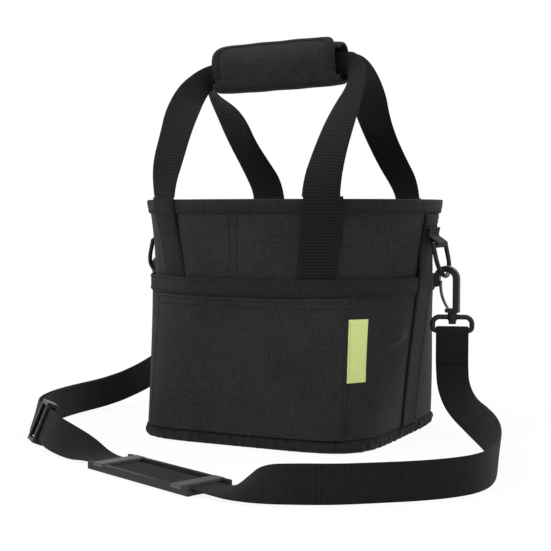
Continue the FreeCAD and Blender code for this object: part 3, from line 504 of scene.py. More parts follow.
# main panels, linings and inner pockets: half the wall each, the seams lie under the side webbing
halves = {"front": (np.pi, 2 * np.pi, -1), "back": (0.0, np.pi, 1)}
shell = dict(panel=(-2.4, 0.0), lining=(-3.7, -2.7), inside=(-5.2, -4.0), heights=(0.0, 237.0),
             liningHeights=(6.9, 237.0), insideHeights=(40.0, 165.0), insideHalf=92.0)
for name, (start, end, side) in halves.items():
    addCloth("panel", ["base_binding", "rim_binding"], "shell_fabric", name + "_panel", name + "PanelCloth",
             (start, end), shell["heights"], shell["panel"], oxford, (110, 60))
    addCloth("lining", [name + "_panel"], "lining_fabric", name + "_lining", name + "LiningCloth",
             (start, end), shell["liningHeights"], shell["lining"], liningCloth, (110, 50))
    edges = [atX(sign * shell["insideHalf"], side) for sign in (side, -side)]
    addCloth("inside", [name + "_lining"], "lining_fabric", name + "_inner_pocket",
             name + "InnerPocketCloth", edges, shell["insideHeights"], shell["inside"],
             liningCloth, (50, 30))
print("panels and linings made")


# base: flat sheets of the base outline, concentric squares drawn out to concentric superellipses
base = dict(panel=(-2.7, 0.0, 2.0), lining=(-4.0, 5.6, 1.0), grid=30, edge=0.03)


def addBaseSheet(name, out, bottom, thick, material):
    # the square (u, v) is pushed out to the wall's foot: point = wall at its angle * max(|u|, |v|)
    t, full = softEdge(base["grid"], base["edge"])
    u, v = np.meshgrid(2 * t - 1, 2 * t - 1)
    reach = np.maximum(np.abs(u), np.abs(v))[..., None]
    flat = wallPoints(np.arctan2(v, u), np.zeros_like(u), out) * reach
    half = thick / 2 * np.minimum.outer(full, full)[..., None] * mm
    flat[..., 2] = (bottom + thick / 2) * mm
    up = np.array([0.0, 0.0, 1.0])
    return addSheet(name, flat + up * half, flat - up * half, flat[..., :2], material)


dress(addBaseSheet("basePanelCloth", *base["panel"], oxford), "bag", "shell_fabric", "base_panel")
dress(addBaseSheet("baseLiningCloth", *base["lining"], liningCloth), "bag", "lining_fabric", "base_lining")
finishNode("base_board", boardPlastic)


# outside pockets: a panel round each half, a hemmed band along its top, a patch pocket on the front
pockets = dict(panel=(2.1, 3.3), top=(3.6, 4.8), heights=(12.3, 161.0), band=(146.0, 162.0),
               bandGap=0.0052, patchHalf=102.5, patchHeights=(12.3, 144.5), label=(66.0, 125.0),
               labelGap=0.0028, labelTurn=0.136)
slack = dict(height=104.0, slope=9.0, wide=6.0, rise=6.0, dip=0.30, below=13.0, dipWide=9.0,
             span=(-34.0, -10.0))
strips = dict(half=19.0, lift=(3.6, 0.6), step=(160.0, 188.0), thick=1.6, heights=(12.3, 224.2))
patchEdge = {sign: atX(sign * pockets["patchHalf"], -1) for sign in (-1, 1)}


def stripAngle(z):
    return np.arctan2(strips["half"], upWall(wall["width"], z))


def besideStrip(seam, sign, gap=0.0):
    return lambda z: seam + sign * (stripAngle(z) + gap)


def labelEdge(turn):
    return lambda z: patchEdge[1](z) + pockets["labelGap"] + turn


def pocketSlack(angle, z):
    # a soft fold beside the right strip: rise * sin^2 along it, times a ridge exp(-(over / wide)^2) less the
    # hollow under it
    low, high = np.radians(slack["span"])
    turned = (angle + np.pi) % (2 * np.pi) - np.pi
    s = np.clip((turned - low) / (high - low), 0, 1)
    over = z - slack["height"] - slack["slope"] * (s - 0.5)
    hollow = slack["dip"] * np.exp(-((over + slack["below"]) / slack["dipWide"]) ** 2)
    return slack["rise"] * np.sin(np.pi * s) ** 2 * (np.exp(-(over / slack["wide"]) ** 2) - hollow)


for name, (start, end, side) in halves.items():
    addCloth("pocket", [name + "_panel"], "shell_fabric", name + "_pocket_panel", name + "PocketCloth",
             (start, end), pockets["heights"], pockets["panel"], oxford, (150, 50), swell=pocketSlack)
    edges = (besideStrip(start, 1, pockets["bandGap"]), besideStrip(end, -1, pockets["bandGap"]))
    addCloth("band", [name + "_pocket_panel"], "shell_fabric", name + "_pocket_band", name + "PocketBand",
             edges, pockets["band"], pockets["top"], edgeTape, (110, 8), alongWall=True)
addCloth("patch", ["front_pocket_panel"], "shell_fabric", "front_patch_pocket", "frontPatchPocket",
         (patchEdge[-1], patchEdge[1]), pockets["patchHeights"], pockets["top"], oxford, (90, 50))
edges = (labelEdge(0.0), labelEdge(pockets["labelTurn"]))
addCloth("label", ["front_pocket_panel"], "label_fabric", "label_tab", "bareLabelTab",
         edges, pockets["label"], pockets["top"], sewnLabel, (12, 20))
print("pockets made")


# bindings: a closed profile of (out, height) carried round the wall
foldStep = 2.0    # tape between two points of a profile, for the cloth map
rimFold = [(1.5, 225.2), (1.75, 231.0), (1.5, 236.0), (0.9, 238.0), (-0.4, 238.5), (-3.2, 238.5),
           (-4.5, 238.0), (-5.0, 236.0), (-5.2, 231.0), (-5.0, 225.2), (-4.6, 224.5), (-4.0, 225.2),
           (-4.0, 236.6), (-3.4, 237.3), (-0.3, 237.3), (0.3, 236.6), (0.3, 225.2), (0.8, 224.5)]
baseRoll = [(0.4, 0.2), (1.5, 0.0), (2.6, 0.3), (3.8, 2.2), (4.5, 4.4), (4.7, 6.2), (4.5, 8.0), (3.7, 10.0),
            (2.5, 11.6), (1.4, 12.0), (0.4, 11.7), (0.3, 6.0)]
gathers = dict(rim=0.20, base=0.75, waves=(61, 7, 97), lean=0.3, second=0.6)


def addBinding(name, profile, deep):
    # point = wall at the profile's (out, height), with the tape's own small creases on its outer side:
    # deep * (sin(many * angle + lean * z) * sin(few * angle) + second * sin(fine * angle))
    many, few, fine = gathers["waves"]
    angle = np.linspace(0, 2 * np.pi, 420, endpoint=False)[:, None]
    out, z = np.array(profile).T[:, None, :]
    crease = np.sin(many * angle + gathers["lean"] * z) * np.sin(few * angle)
    crease = deep * (crease + gathers["second"] * np.sin(fine * angle))
    points = wallPoints(angle, z, out + np.where(out > out.mean(), crease, 0.0))
    run = runLength(points[:, 0])
    run = np.append(run, 2 * run[-1] - run[-2])
    across = np.arange(len(profile) + 1) * foldStep * mm
    return addLoft(name, points, spread(across[None, :], run[:, None]), edgeTape, True)


dress(addBinding("rimBindingTape", rimFold, gathers["rim"]), "bag", "binding_tape", "rim_binding")
dress(addBinding("baseBindingTape", baseRoll, gathers["base"]), "bag", "binding_tape", "base_binding")


# side webbing up each side seam, over the pockets and then down on to the panel
def stripLift(z):
    return ramp(z, strips["step"], strips["lift"])


for name, seam in (("right", 0.0), ("left", np.pi)):
    edges = (besideStrip(seam, -1), besideStrip(seam, 1))
    strip = addWallSheet(name + "SideWebbing", edges, strips["heights"],
                         layerOn(stripLift, strips["thick"]), handleWebbing, (14, 60))
    dress(strip, "bag", "handle_webbing", name + "_side_webbing")


# sewn tails of the carrying handles: X of each tail's middle at both ends of its slant
tails = dict(heights=(126.0, 240.9), slant=(126.0, 240.0), lift=(0.2, 2.1), rise=(186.0, 221.5), thick=1.6,
             reach=16.74)
tailX = {"front_right": (73.5, 82.0), "front_left": (-76.5, -90.5), "back_right": (75.0, 85.5),
         "back_left": (-75.0, -83.5)}


def tailLift(z):
    return ramp(z, tails["rise"], tails["lift"])


def tailAngle(name, offset):
    side = -1 if name.startswith("front") else 1
    return lambda z: angleAtX(ramp(z, tails["slant"], tailX[name]) + offset, z, side)


for name, (start, end, side) in halves.items():
    for hand in ("left", "right"):
        edges = [tailAngle(name + "_" + hand, sign * tails["reach"]) for sign in (side, -side)]
        tail = addWallSheet(name + hand.title() + "Tail", edges, tails["heights"],
                            layerOn(tailLift, tails["thick"]), handleWebbing, (14, 40))
        dress(tail, "bag", "handle_webbing", name + "_handle_tails")
print("bindings, strips and tails made")


# webbing routes: rows of a centre point and the direction of one edge, and a ribbon between two splines
ribbon = dict(smooth=14, edge=(0.9, 0.97, 1.0), flat=0.75, count=7, thinner=0.6, near=0.02)


def readSpline(points):
    # points along a quadratic spline that starts and ends at the outermost ones
    data = bpy.data.curves.new("route", "CURVE")
    data.dimensions = "3D"
    data.resolution_u = ribbon["smooth"]
    line = data.splines.new("NURBS")
    line.points.add(len(points) - 1)
    line.points.foreach_set("co", np.c_[points, np.ones(len(points))].ravel())
    line.order_u = 3
    line.use_endpoint_u = True
    holder = bpy.data.objects.new("route", data)
    mesh = bpy.data.meshes.new_from_object(holder)
    found = np.empty(len(mesh.vertices) * 3)
    mesh.vertices.foreach_get("co", found)
    bpy.data.objects.remove(holder)
    bpy.data.curves.remove(data)
    bpy.data.meshes.remove(mesh)
    return found.reshape(-1, 3)


def routeEdges(route, width, shift=0.0, flatStart=False, gathered=()):
    # the edges stand half a width each side of the route, square to its run, closer where it is gathered
    centre, wide = route[:, :3], unitRows(route[:, 3:])
    run = unitRows(np.concatenate([centre[1:], centre[-1:]]) - np.concatenate([centre[:1], centre[:-1]]))
    if flatStart:
        run[0] = (0.0, 0.0, 1.0)
    wide = unitRows(wide - run * np.sum(wide * run, 1, keepdims=True))
    centre = centre + np.cross(run, wide) * shift
    share = np.ones((len(route), 1))
    share[len(route) - len(gathered):, 0] = gathered
    half = wide * share * width / 2
    return readSpline(centre - half), readSpline(centre + half), readSpline(centre)


def endRows(line):
    # one more row close to each end, which keeps the ends sharp
    first = line[:1] + (line[1:2] - line[:1]) * ribbon["near"]
    last = line[-1:] + (line[-2:-1] - line[-1:]) * ribbon["near"]
    return np.concatenate([line[:1], first, line[1:-1], last, line[-1:]])


def addRibbon(name, low, high, thick, material, cup=0.0):
    # across the ribbon, v from -1 to 1: point = middle + v * half width, with the thickness
    # t * (1 - thinner * v^16), and gathered webbing is cupped by cup * (1 - share) * v^2
    low, high = endRows(low), endRows(high)
    outside = np.array(ribbon["edge"])
    inside = np.linspace(-ribbon["flat"], ribbon["flat"], ribbon["count"])
    v = np.concatenate([-outside[::-1], inside, outside])
    middle, half = (low + high) / 2, (high - low) / 2
    normal = unitRows(np.cross(np.gradient(middle, axis=0), half))[:, None, :]
    reach = np.linalg.norm(half, axis=1)
    bow = ((1 - reach / reach.max()) * cup * mm)[:, None, None] * (v ** 2)[None, :, None]
    face = middle[:, None, :] + half[:, None, :] * v[None, :, None] + normal * bow
    depth = normal * (thick / 2 * (1 - ribbon["thinner"] * v ** 16))[None, :, None]
    cloth = spread((v * reach.max())[None, :], runLength(middle)[:, None])
    return addSheet(name, face + depth, face - depth, cloth, material)


# shoulder strap: from the right hook's eye along the floor to the pad, and on to the left hook's eye
strap = dict(width=0.032, thick=0.0016, bend=0.15, returnFrom=9, returnOffset=0.005)
strapRight = np.array([
    (0.174, 0.0, 0.088, 0.95, 0.31, 0.0), (0.174, 0.0, 0.073, 0.95, 0.31, 0.0),
    (0.177, -0.005, 0.054, 0.93, 0.33, 0.14), (0.19, -0.019, 0.038, 0.8, 0.45, 0.4),
    (0.215, -0.046, 0.029, 0.55, 0.35, 0.76), (0.244, -0.097, 0.025, 0.3, 0.14, 0.94),
    (0.262, -0.14, 0.02, 0.1, 0.05, 0.99), (0.268, -0.178, 0.017, 0.0, 0.0, 1.0),
    (0.265, -0.21, 0.0165, 0.0, 0.0, 1.0), (0.251, -0.236, 0.0165, 0.0, 0.0, 1.0),
    (0.229, -0.259, 0.0165, 0.0, 0.0, 1.0), (0.204, -0.278, 0.0165, 0.0, 0.0, 1.0),
    (0.178, -0.297, 0.0165, 0.0, 0.05, 1.0), (0.15, -0.31, 0.0166, 0.04, 0.15, 0.99),
    (0.122, -0.316, 0.0152, 0.15, 0.45, 0.88), (0.1, -0.314, 0.009, 0.32, 0.82, 0.45),
    (0.084, -0.3088, 0.0044, 0.377, 0.926, 0.03), (0.06, -0.2991, 0.0041, 0.377, 0.926, 0.0),
    (0.032, -0.2877, 0.0041, 0.377, 0.926, 0.0), (0.002, -0.2755, 0.0041, 0.377, 0.926, 0.0),
])
strapLeft = np.array([
    (0.002, -0.2755, 0.0041, 0.377, 0.926, 0.0), (-0.028, -0.2633, 0.0041, 0.377, 0.926, 0.0),
    (-0.056, -0.2519, 0.0041, 0.377, 0.926, 0.0), (-0.082, -0.2413, 0.0044, 0.377, 0.926, 0.03),
    (-0.102, -0.236, 0.0092, 0.33, 0.8, 0.5), (-0.126, -0.231, 0.015, 0.29, 0.55, 0.78),
    (-0.146, -0.2235, 0.019, 0.27, 0.38, 0.885), (-0.164, -0.2085, 0.0216, 0.264, 0.288, 0.92),
    (-0.1785, -0.1952, 0.0218, 0.264, 0.288, 0.92), (-0.195, -0.1801, 0.0218, 0.264, 0.288, 0.92),
    (-0.211, -0.165, 0.0205, 0.23, 0.24, 0.94), (-0.23, -0.134, 0.0175, 0.08, 0.06, 0.99),
    (-0.246, -0.097, 0.0165, 0.0, 0.0, 1.0), (-0.254, -0.058, 0.0165, 0.0, 0.0, 1.0),
    (-0.256, -0.02, 0.0165, 0.0, 0.0, 1.0), (-0.25, 0.014, 0.018, 0.0, 0.04, 1.0),
    (-0.236, 0.042, 0.024, -0.15, 0.2, 0.97), (-0.216, 0.066, 0.036, -0.45, 0.4, 0.8),
    (-0.191, 0.081, 0.058, -0.8, 0.42, 0.42), (-0.1732, 0.0787, 0.0846, -0.951, 0.243, 0.19),
    (-0.1732, 0.067, 0.0996, -0.951, 0.243, 0.19),
])


def addStrap(name, route, shift, node, exitFirst):
    # a ribbon along the route; its centre line is returned so that it starts at the eye that the strap hangs
    # on
    low, high, line = routeEdges(route, strap["width"], shift)
    piece = addRibbon(name, low, high, strap["thick"], strapWebbing)
    line = line if exitFirst else line[::-1]
    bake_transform(piece)
    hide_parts(node)
    return piece, line


rightStrap = addStrap("rightStrap", strapRight, 0.0, "strap_right_run", True)
leftStrap = addStrap("leftStrap", strapLeft, 0.0, "strap_left_run", False)
strapReturn = strapLeft[strap["returnFrom"]:]
backStrap = addStrap("returnStrap", strapReturn, strap["returnOffset"], "strap_return_run",
                     False)
print("strap made")


# free legs of the carrying handles, from the rim to the grip, gathered narrower where they meet it
legs = dict(width=0.036, thick=0.0016, foot=0.2404, travel=0.06, gathered=(0.86, 0.68, 0.6, 0.6), cup=6.0)
legRoutes = {
    "front_right": [
        (0.0822, -0.1138, 0.2404, 0.92, 0.39, 0.0), (0.0834, -0.1146, 0.254, 0.97, 0.22, 0.0),
        (0.0865, -0.1065, 0.279, 1.0, -0.08, 0.0), (0.0905, -0.091, 0.309, 0.97, -0.22, 0.03),
        (0.0935, -0.074, 0.333, 0.93, -0.22, 0.3), (0.0935, -0.057, 0.355, 0.66, -0.05, 0.74),
        (0.084, -0.0445, 0.3715, 0.06, 0.0, 0.99), (0.072, -0.0403, 0.3728, -0.026, 0.0, 1.0),
        (0.0662, -0.04, 0.37267, -0.026, 0.0, 1.0),
    ],
    "front_left": [
        (-0.091, -0.1082, 0.2404, 0.9, -0.44, 0.0), (-0.0905, -0.11, 0.254, 0.94, -0.34, 0.0),
        (-0.0875, -0.107, 0.277, 1.0, -0.06, 0.0), (-0.0855, -0.095, 0.305, 1.0, 0.0, 0.0),
        (-0.0865, -0.08, 0.328, 0.95, 0.05, -0.3), (-0.087, -0.061, 0.347, 0.62, 0.12, -0.77),
        (-0.08, -0.045, 0.3625, 0.08, 0.0, -0.99), (-0.067, -0.0404, 0.3692, 0.026, 0.0, -1.0),
        (-0.0612, -0.04, 0.36933, 0.026, 0.0, -1.0),
    ],
    "back_left": [
        (-0.0838, 0.1128, 0.2404, 0.92, 0.39, 0.0), (-0.086, 0.115, 0.254, 0.96, 0.28, 0.0),
        (-0.099, 0.108, 0.28, 1.0, 0.05, 0.0), (-0.105, 0.086, 0.306, 1.0, -0.05, 0.0),
        (-0.099, 0.05, 0.33, 1.0, -0.12, -0.05), (-0.092, 0.012, 0.347, 0.93, -0.2, -0.3),
        (-0.088, -0.018, 0.359, 0.55, -0.25, -0.8), (-0.079, -0.032, 0.3655, 0.08, 0.0, -0.99),
        (-0.067, -0.0357, 0.3692, 0.026, 0.0, -1.0), (-0.0612, -0.036, 0.36933, 0.026, 0.0, -1.0),
    ],
    "back_right": [
        (0.086, 0.1119, 0.2404, 0.91, -0.42, 0.0), (0.0835, 0.1145, 0.254, 0.95, -0.3, 0.0),
        (0.07, 0.106, 0.281, 1.0, -0.08, 0.0), (0.0645, 0.085, 0.307, 1.0, 0.0, 0.0),
        (0.0675, 0.055, 0.327, 1.0, 0.1, 0.03), (0.0755, 0.022, 0.345, 0.93, 0.25, 0.25),
        (0.084, -0.012, 0.361, 0.55, 0.25, 0.8), (0.084, -0.0315, 0.3715, 0.06, 0.0, 0.99),
        (0.072, -0.0357, 0.3728, -0.026, 0.0, 1.0), (0.0662, -0.036, 0.37267, -0.026, 0.0, 1.0),
    ],
}


def addHandlePiece(name, edges, body, node, cup=0.0):
    return dress(addRibbon(name, *edges, legs["thick"], handleWebbing, cup), body, "handle_webbing", node)


for name, route in legRoutes.items():
    *edges, line = routeEdges(np.array(route), legs["width"], 0.0, True, legs["gathered"])
    leg = addHandlePiece(name.title().replace("_", "") + "Leg", edges, "bag", name + "_leg", legs["cup"])
    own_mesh(leg)
print("handle legs made")


# wrapped grip: a padded sheet round both handle runs, closed by a bound flap over its front
grip = dict(centre=(2.5, -38.0, 371.0), tilt=1.5, half=71.0, halfHeight=21.2, halfDepth=15.0, power=2.5,
            swell=(0.9, 0.7, 0.22), wave=(0.16, 0.03), edges=(0.012, 0.03), round=18.0,
            core=(-38.0, 219.5), coreCloth=(-2.6, 0.0), tape=(326.0, 344.0), tapeHalf=54.0,
            loopTape=(0.1, 1.0), hookTape=(1.2, 2.0), runLength=126.0, runOffset=2.0, runHalf=10.8)
flap = dict(span=(219.7, 348.0), half=67.0, lift=(-2.0, 2.1), rise=(224.0, 300.0), cloth=2.0, corner=18.0,
            bindingFrom=246.0, fold=(226.0, 243.0), sewing=(6.3, 1.0))


def toGrip(local):
    # turned about Y by the grip's tilt, then moved to its place
    t = math.radians(-grip["tilt"])
    x, y, z = np.moveaxis(local, -1, 0)
    turned = np.stack([x * math.cos(t) + z * math.sin(t), y, z * math.cos(t) - x * math.sin(t)], -1)
    return (turned + np.array(grip["centre"])) * mm


def gripPoints(x, angle, out):
    # oval section (|sin/a|^p + |cos/b|^p)^(-1/p), padded full in the middle, creased, and drawn in at the
    # ends: a and b grow by full * (1 - s^4) - drawn * s^10 + crease * wave * (1 - s^2)
    x, angle, out = np.broadcast_arrays(x, angle, out)
    s = np.clip(np.abs(x) / grip["half"], 0, 1)
    full, drawn, crease = grip["swell"]
    wave = np.sin(grip["wave"][0] * x + grip["wave"][1] * angle)
    swell = full * (1 - s ** 4) - drawn * s ** 10 + crease * wave * (1 - s ** 2)
    across = np.sin(np.radians(angle))
    up = np.cos(np.radians(angle))
    a = grip["halfDepth"] + out + swell
    b = grip["halfHeight"] + out + swell
    p = grip["power"]
    r = (np.abs(across / a) ** p + np.abs(up / b) ** p) ** (-1 / p)
    return toGrip(np.stack([x, r * across, r * up], -1))


def gripNormals(x, angle, out):
    along = gripPoints(x + 0.5, angle, out) - gripPoints(x - 0.5, angle, out)
    about = gripPoints(x, angle + 1.0, out) - gripPoints(x, angle - 1.0, out)
    return unitRows(np.cross(about, along))


def flapLift(angle):
    return ramp(angle, flap["rise"], flap["lift"])


def addGripSheet(name, span, layer, half, material, grid, joined=()):
    # point = grip at (x, angle), out to both faces of the layer; half is the sheet's half length, a number
    # or a function of the angle as the layer's faces are, and a joined edge keeps its thickness
    u, fullU = softEdge(grid[1], grip["edges"][1])
    fullU[list(joined)] = 1.0
    v, fullV = softEdge(grid[0], grip["edges"][0])
    angle = (span[0] + (span[1] - span[0]) * u)[None, :]
    low, high, reach = readAt(angle, *layer, half)
    x = (2 * v - 1)[:, None] * reach
    depth = (high - low) / 2 * np.minimum(fullV[:, None], fullU[None, :])
    outer = gripPoints(x, angle, (high + low) / 2 + depth)
    inner = gripPoints(x, angle, (high + low) / 2 - depth)
    cloth = spread(x * mm, np.radians(angle) * grip["round"] * mm)
    return addSheet(name, outer, inner, cloth, material)


# distance down from the flap's top edge for each angle, read from the section at the grip's middle
flapAngles = np.linspace(flap["span"][0], flap["span"][1] + 10.0, 300)
flapRun = runLength(gripPoints(0.0, flapAngles, flapLift(flapAngles) + flap["cloth"])) / mm
flapDown = np.interp(flap["span"][1], flapAngles, flapRun) - flapRun


def flapHalf(angle):
    # the two upper corners are quarter circles
    down = np.interp(angle, flapAngles, flapDown)
    inset = np.clip(flap["corner"] - down, 0, flap["corner"])
    return flap["half"] - flap["corner"] + np.sqrt(np.maximum(flap["corner"] ** 2 - inset ** 2, 0))


def flapEdge():
    # the bound edge from the lower left round to the lower right: points (x, down) and the way inwards
    c, half = flap["corner"], flap["half"]
    side = np.linspace(np.interp(flap["bindingFrom"], flapAngles, flapDown), c, 24)
    turn = np.linspace(np.pi, np.pi / 2, 16)[1:-1]
    left = spread(-half, side, 1.0, 0.0)
    bend = spread(c - half + c * np.cos(turn), c - c * np.sin(turn), -np.cos(turn), np.sin(turn))
    crest = spread(np.linspace(c - half, half - c, 50), 0.0, 0.0, 1.0)
    mirror = np.array([-1, 1, -1, 1])
    edge = np.concatenate([left, bend, crest, bend[::-1] * mirror, left[::-1] * mirror])
    return edge[:, :2], edge[:, 2:]


def flapPoints(x, down, above, make=gripPoints):
    angle = np.interp(-down, -flapDown, flapAngles)
    return make(x, angle, flapLift(angle) + flap["cloth"] + above)


# folded tape over the flap's edge: (inwards from the edge, above the flap's face)
tapeFold = [(7.4, 0.1), (7.6, 0.5), (7.2, 0.9), (3.6, 1.05), (0.0, 0.95), (-0.7, 0.4), (-0.95, -0.8),
            (-0.7, -2.1), (0.0, -2.4), (4.4, -2.4), (4.4, -2.1), (0.0, -2.1), (-0.3, -1.0), (0.0, 0.1)]

wrap = addGripSheet("gripWrap", grip["core"], grip["coreCloth"], grip["half"], gripCloth, (60, 60), (-2, -1))
dress(wrap, "grip", "grip_fabric", "grip_wrap")
# the flap's cloth runs from its fold on the grip round over the front, and is baked where it lies
cover = addGripSheet("gripFlap", flap["span"], layerOn(flapLift, flap["cloth"]), flapHalf, gripCloth,
                     (70, 40), (0, 1))
foldStart, foldEnd = [gripPoints(0.0, angle, 0.0) for angle in flap["fold"]]
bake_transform(cover)
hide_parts("grip_flap")
edge, inwards = flapEdge()
fold = np.array(tapeFold)
around = edge[:, None, :] + inwards[:, None, :] * fold[None, :, :1]
bound = flapPoints(around[..., 0], around[..., 1], fold[None, :, 1])
tapeMap = spread(np.arange(len(fold) + 1)[None, :] * foldStep * mm, runLength(edge)[:, None] * mm)
dress(addLoft("gripFlapBinding", bound, tapeMap, edgeTape), "flap", "binding_tape", "grip_flap_binding")
for kind, body in (("loop", "grip"), ("hook", "flap")):
    tape = addGripSheet("grip" + kind.title() + "Tape", grip["tape"], grip[kind + "Tape"], grip["tapeHalf"],
                        pileTape, (40, 12))
    dress(tape, body, "hook_and_loop", "grip_" + kind + "_tape")
for name, y in (("front", -grip["runOffset"]), ("back", grip["runOffset"])):
    x = np.linspace(-0.5, 0.5, 40) * grip["runLength"]
    edges = [toGrip(spread(x, y, z)) for z in (-grip["runHalf"], grip["runHalf"])]
    addHandlePiece(name + "HandleRun", edges, "grip", name + "_handle_run")
print("grip made")


# webbing folded round a bar: a path in a plane, carried across the webbing's width
sides = (("right", 1.0), ("left", -1.0))


def arcPath(centre, radius, start, end, count=14):
    # centre + radius * (cos, sin), from one angle to the other
    turn = np.radians(np.linspace(start, end, count))
    return np.stack([centre[0] + radius * np.cos(turn), centre[1] + radius * np.sin(turn)], -1)


def easePath(start, end, count=10):
    # from start to end with an S bend across: the first number eases, the second runs evenly
    t = np.linspace(0, 1, count)
    s = t * t * (3 - 2 * t)
    return np.stack([start[0] + (end[0] - start[0]) * s, start[1] + (end[1] - start[1]) * t], -1)


# loops that hold the side rings: (X, Z) of their top, knee and bar, and the rows of sewing (Z, X)
ringLoop = dict(bar=(160.0, 195.0), radius=3.4, half=16.0, top=(153.62, 211.0), knee=(152.50, 203.5),
                apart=1.62, rows=((208.6, 155.78), (205.2, 155.1)), rowHalf=13.5, rowOut=(1.0, 0.0, 0.15))


def ringLoopPath():
    x, z = ringLoop["bar"]
    r, apart = ringLoop["radius"], np.array([ringLoop["apart"], 0.0])
    top, knee = np.array(ringLoop["top"]), np.array(ringLoop["knee"])
    bends = [easePath(knee, (x - r, z)), arcPath((x, z), r, 180, 360),
             easePath((x + r, z), knee + apart, 14), easePath(knee + apart, top + apart)]
    return np.concatenate([easePath(top, knee)] + [bend[1:] for bend in bends])


for name, sign in sides:
    x, z = ringLoopPath().T
    edges = [spread(sign * x, y, z) * mm for y in (-ringLoop["half"], ringLoop["half"])]
    addHandlePiece(name + "RingLoop", edges, "bag", name + "_ring_loop")

# strap ends folded round the lower bar of each swivel eye; the left one leans back along the ring's bow
eyeLoop = dict(bar=109.0, radius=3.6, waist=94.0, half=16.0, turn=18.0, x=174.0, lean=38.0,
               bow=(-162.94, 0.0, 181.517), boxHalf=13.0, boxRows=(79.0, 91.0), boxSteps=12)
eyeArms = dict(right=(1.78, 77.0), left=(2.5, 75.7))    # half the space between the arms, and their foot


def eyeLoopPath(side):
    r, bar, waist = eyeLoop["radius"], eyeLoop["bar"], eyeLoop["waist"]
    pinch, foot = eyeArms[side]
    knee = (-pinch, waist)
    arm = np.concatenate([easePath((-pinch, foot), knee), easePath(knee, (-r, bar))[1:]])
    return np.concatenate([arm, arcPath((0.0, bar), r, 180, 0)[1:-1], arm[::-1] * np.array([-1, 1])])


def toEye(local, sign):
    # local (across, through, up): turned about the swivel, and for the left side mirrored and leaned back
    t = math.radians(eyeLoop["turn"])
    x, y, z = np.moveaxis(local, -1, 0)
    place = np.stack([sign * (x * math.cos(t) - y * math.sin(t) + eyeLoop["x"]),
                      x * math.sin(t) + y * math.cos(t), z], -1)
    if sign < 0:
        c, s = math.cos(math.radians(eyeLoop["lean"])), math.sin(math.radians(eyeLoop["lean"]))
        bow = np.array(eyeLoop["bow"])
        x, y, z = np.moveaxis(place - bow, -1, 0)
        place = np.stack([x, y * c - z * s, y * s + z * c], -1) + bow
    return place * mm


def addStrapFold(name, edges, body, node):
    return dress(addRibbon(name, *edges, strap["thick"], strapWebbing), body, "strap_webbing", node)


for (name, sign), node in zip(sides, ("right_strap_end", "left_strap_turn")):
    y, z = eyeLoopPath(name).T
    edges = [toEye(spread(x, y, z), sign) for x in (-eyeLoop["half"], eyeLoop["half"])]
    addStrapFold(name + "StrapEnd", edges, name + "_eye", node)

# the return run's sewn end, folded round the adjuster's middle bar
tailLoop = dict(station=8, nose=2.3, middle=-5.0, radius=2.6, half=16.0, arm=17.0, shoulder=2.0, pinch=1.72)


def slideFrame():
    # the adjuster's own frame: back along the strap, across it, and out of it
    k = tailLoop["station"]
    run = unitRows(strapLeft[k + 1, :3] - strapLeft[k - 1, :3])
    wide = unitRows(strapLeft[k, 3:])
    wide = unitRows(wide - run * (wide @ run))
    return strapLeft[k, :3], -run, wide, -np.cross(run, wide)


def addTailLoop():
    at, run, wide, out = slideFrame()
    r, middle, nose = tailLoop["radius"], tailLoop["middle"], tailLoop["nose"]
    arm = easePath((tailLoop["pinch"], nose - tailLoop["arm"]), (r, nose - tailLoop["shoulder"]), 14)
    arm = np.stack([arm[:, 1], middle + arm[:, 0]], -1)
    lower = arm[::-1] * np.array([1, -1]) + np.array([0, 2 * middle])
    path = np.concatenate([arm, arcPath((nose, middle), r, 90, -90), lower])
    edges = [at + (path[:, :1] * run + path[:, 1:] * out + across * wide) * mm
             for across in (-tailLoop["half"], tailLoop["half"])]
    return addStrapFold("strapTailLoop", edges, "adjuster", "strap_tail_loop")


strapTail = addTailLoop()


print("folded webbing made")


# moulded pieces keep their CAD shape and take a plastic finish; the pad's centre is in metres
pad = dict(centre=(0.002, -0.2755, 0.0), turn=-22.15, bridge=56.0, bridgeHalf=6.7, above=4.7,
           grey=(0.080, 0.081, 0.084, 1.0))


def padFinish():
    # dark rails and plate, with the two bridges a lighter grey: picked out in the pad's own directions
    material = plasticFinish("padRubber", (0.010, 0.010, 0.011), (0.026, 0.026, 0.028), 0.42, 0.10)
    tree = material.node_tree
    shader = tree.nodes["Principled BSDF"]
    coords = tree.nodes.new("ShaderNodeTexCoord")
    local = tree.nodes.new("ShaderNodeMapping")
    local.vector_type = "TEXTURE"
    setInputs(tree, local, {"Location": pad["centre"], "Rotation": (0.0, 0.0, math.radians(pad["turn"])),
                            "Vector": coords.outputs["Object"]})
    split = tree.nodes.new("ShaderNodeSeparateXYZ")
    tree.links.new(local.outputs["Vector"], split.inputs[0])
    fromBridge = calc(tree, "SUBTRACT", calc(tree, "ABSOLUTE", split.outputs[0]), pad["bridge"] * mm)
    near = calc(tree, "LESS_THAN", calc(tree, "ABSOLUTE", fromBridge), pad["bridgeHalf"] * mm)
    high = calc(tree, "GREATER_THAN", split.outputs[2], pad["above"] * mm)
    dark = shader.inputs["Base Color"].links[0].from_socket
    picked = blendColours(tree, calc(tree, "MULTIPLY", near, high), dark, pad["grey"])
    tree.links.new(picked, shader.inputs["Base Color"])
    return material


for name, sign in sides:
    for part in ("d_ring", "hook_body", "hook_gate", "swivel_eye"):
        finishNode(name + "_" + part, hardwarePlastic)
finishNode("strap_adjuster", hardwarePlastic)
finishNode("shoulder_pad", padFinish())


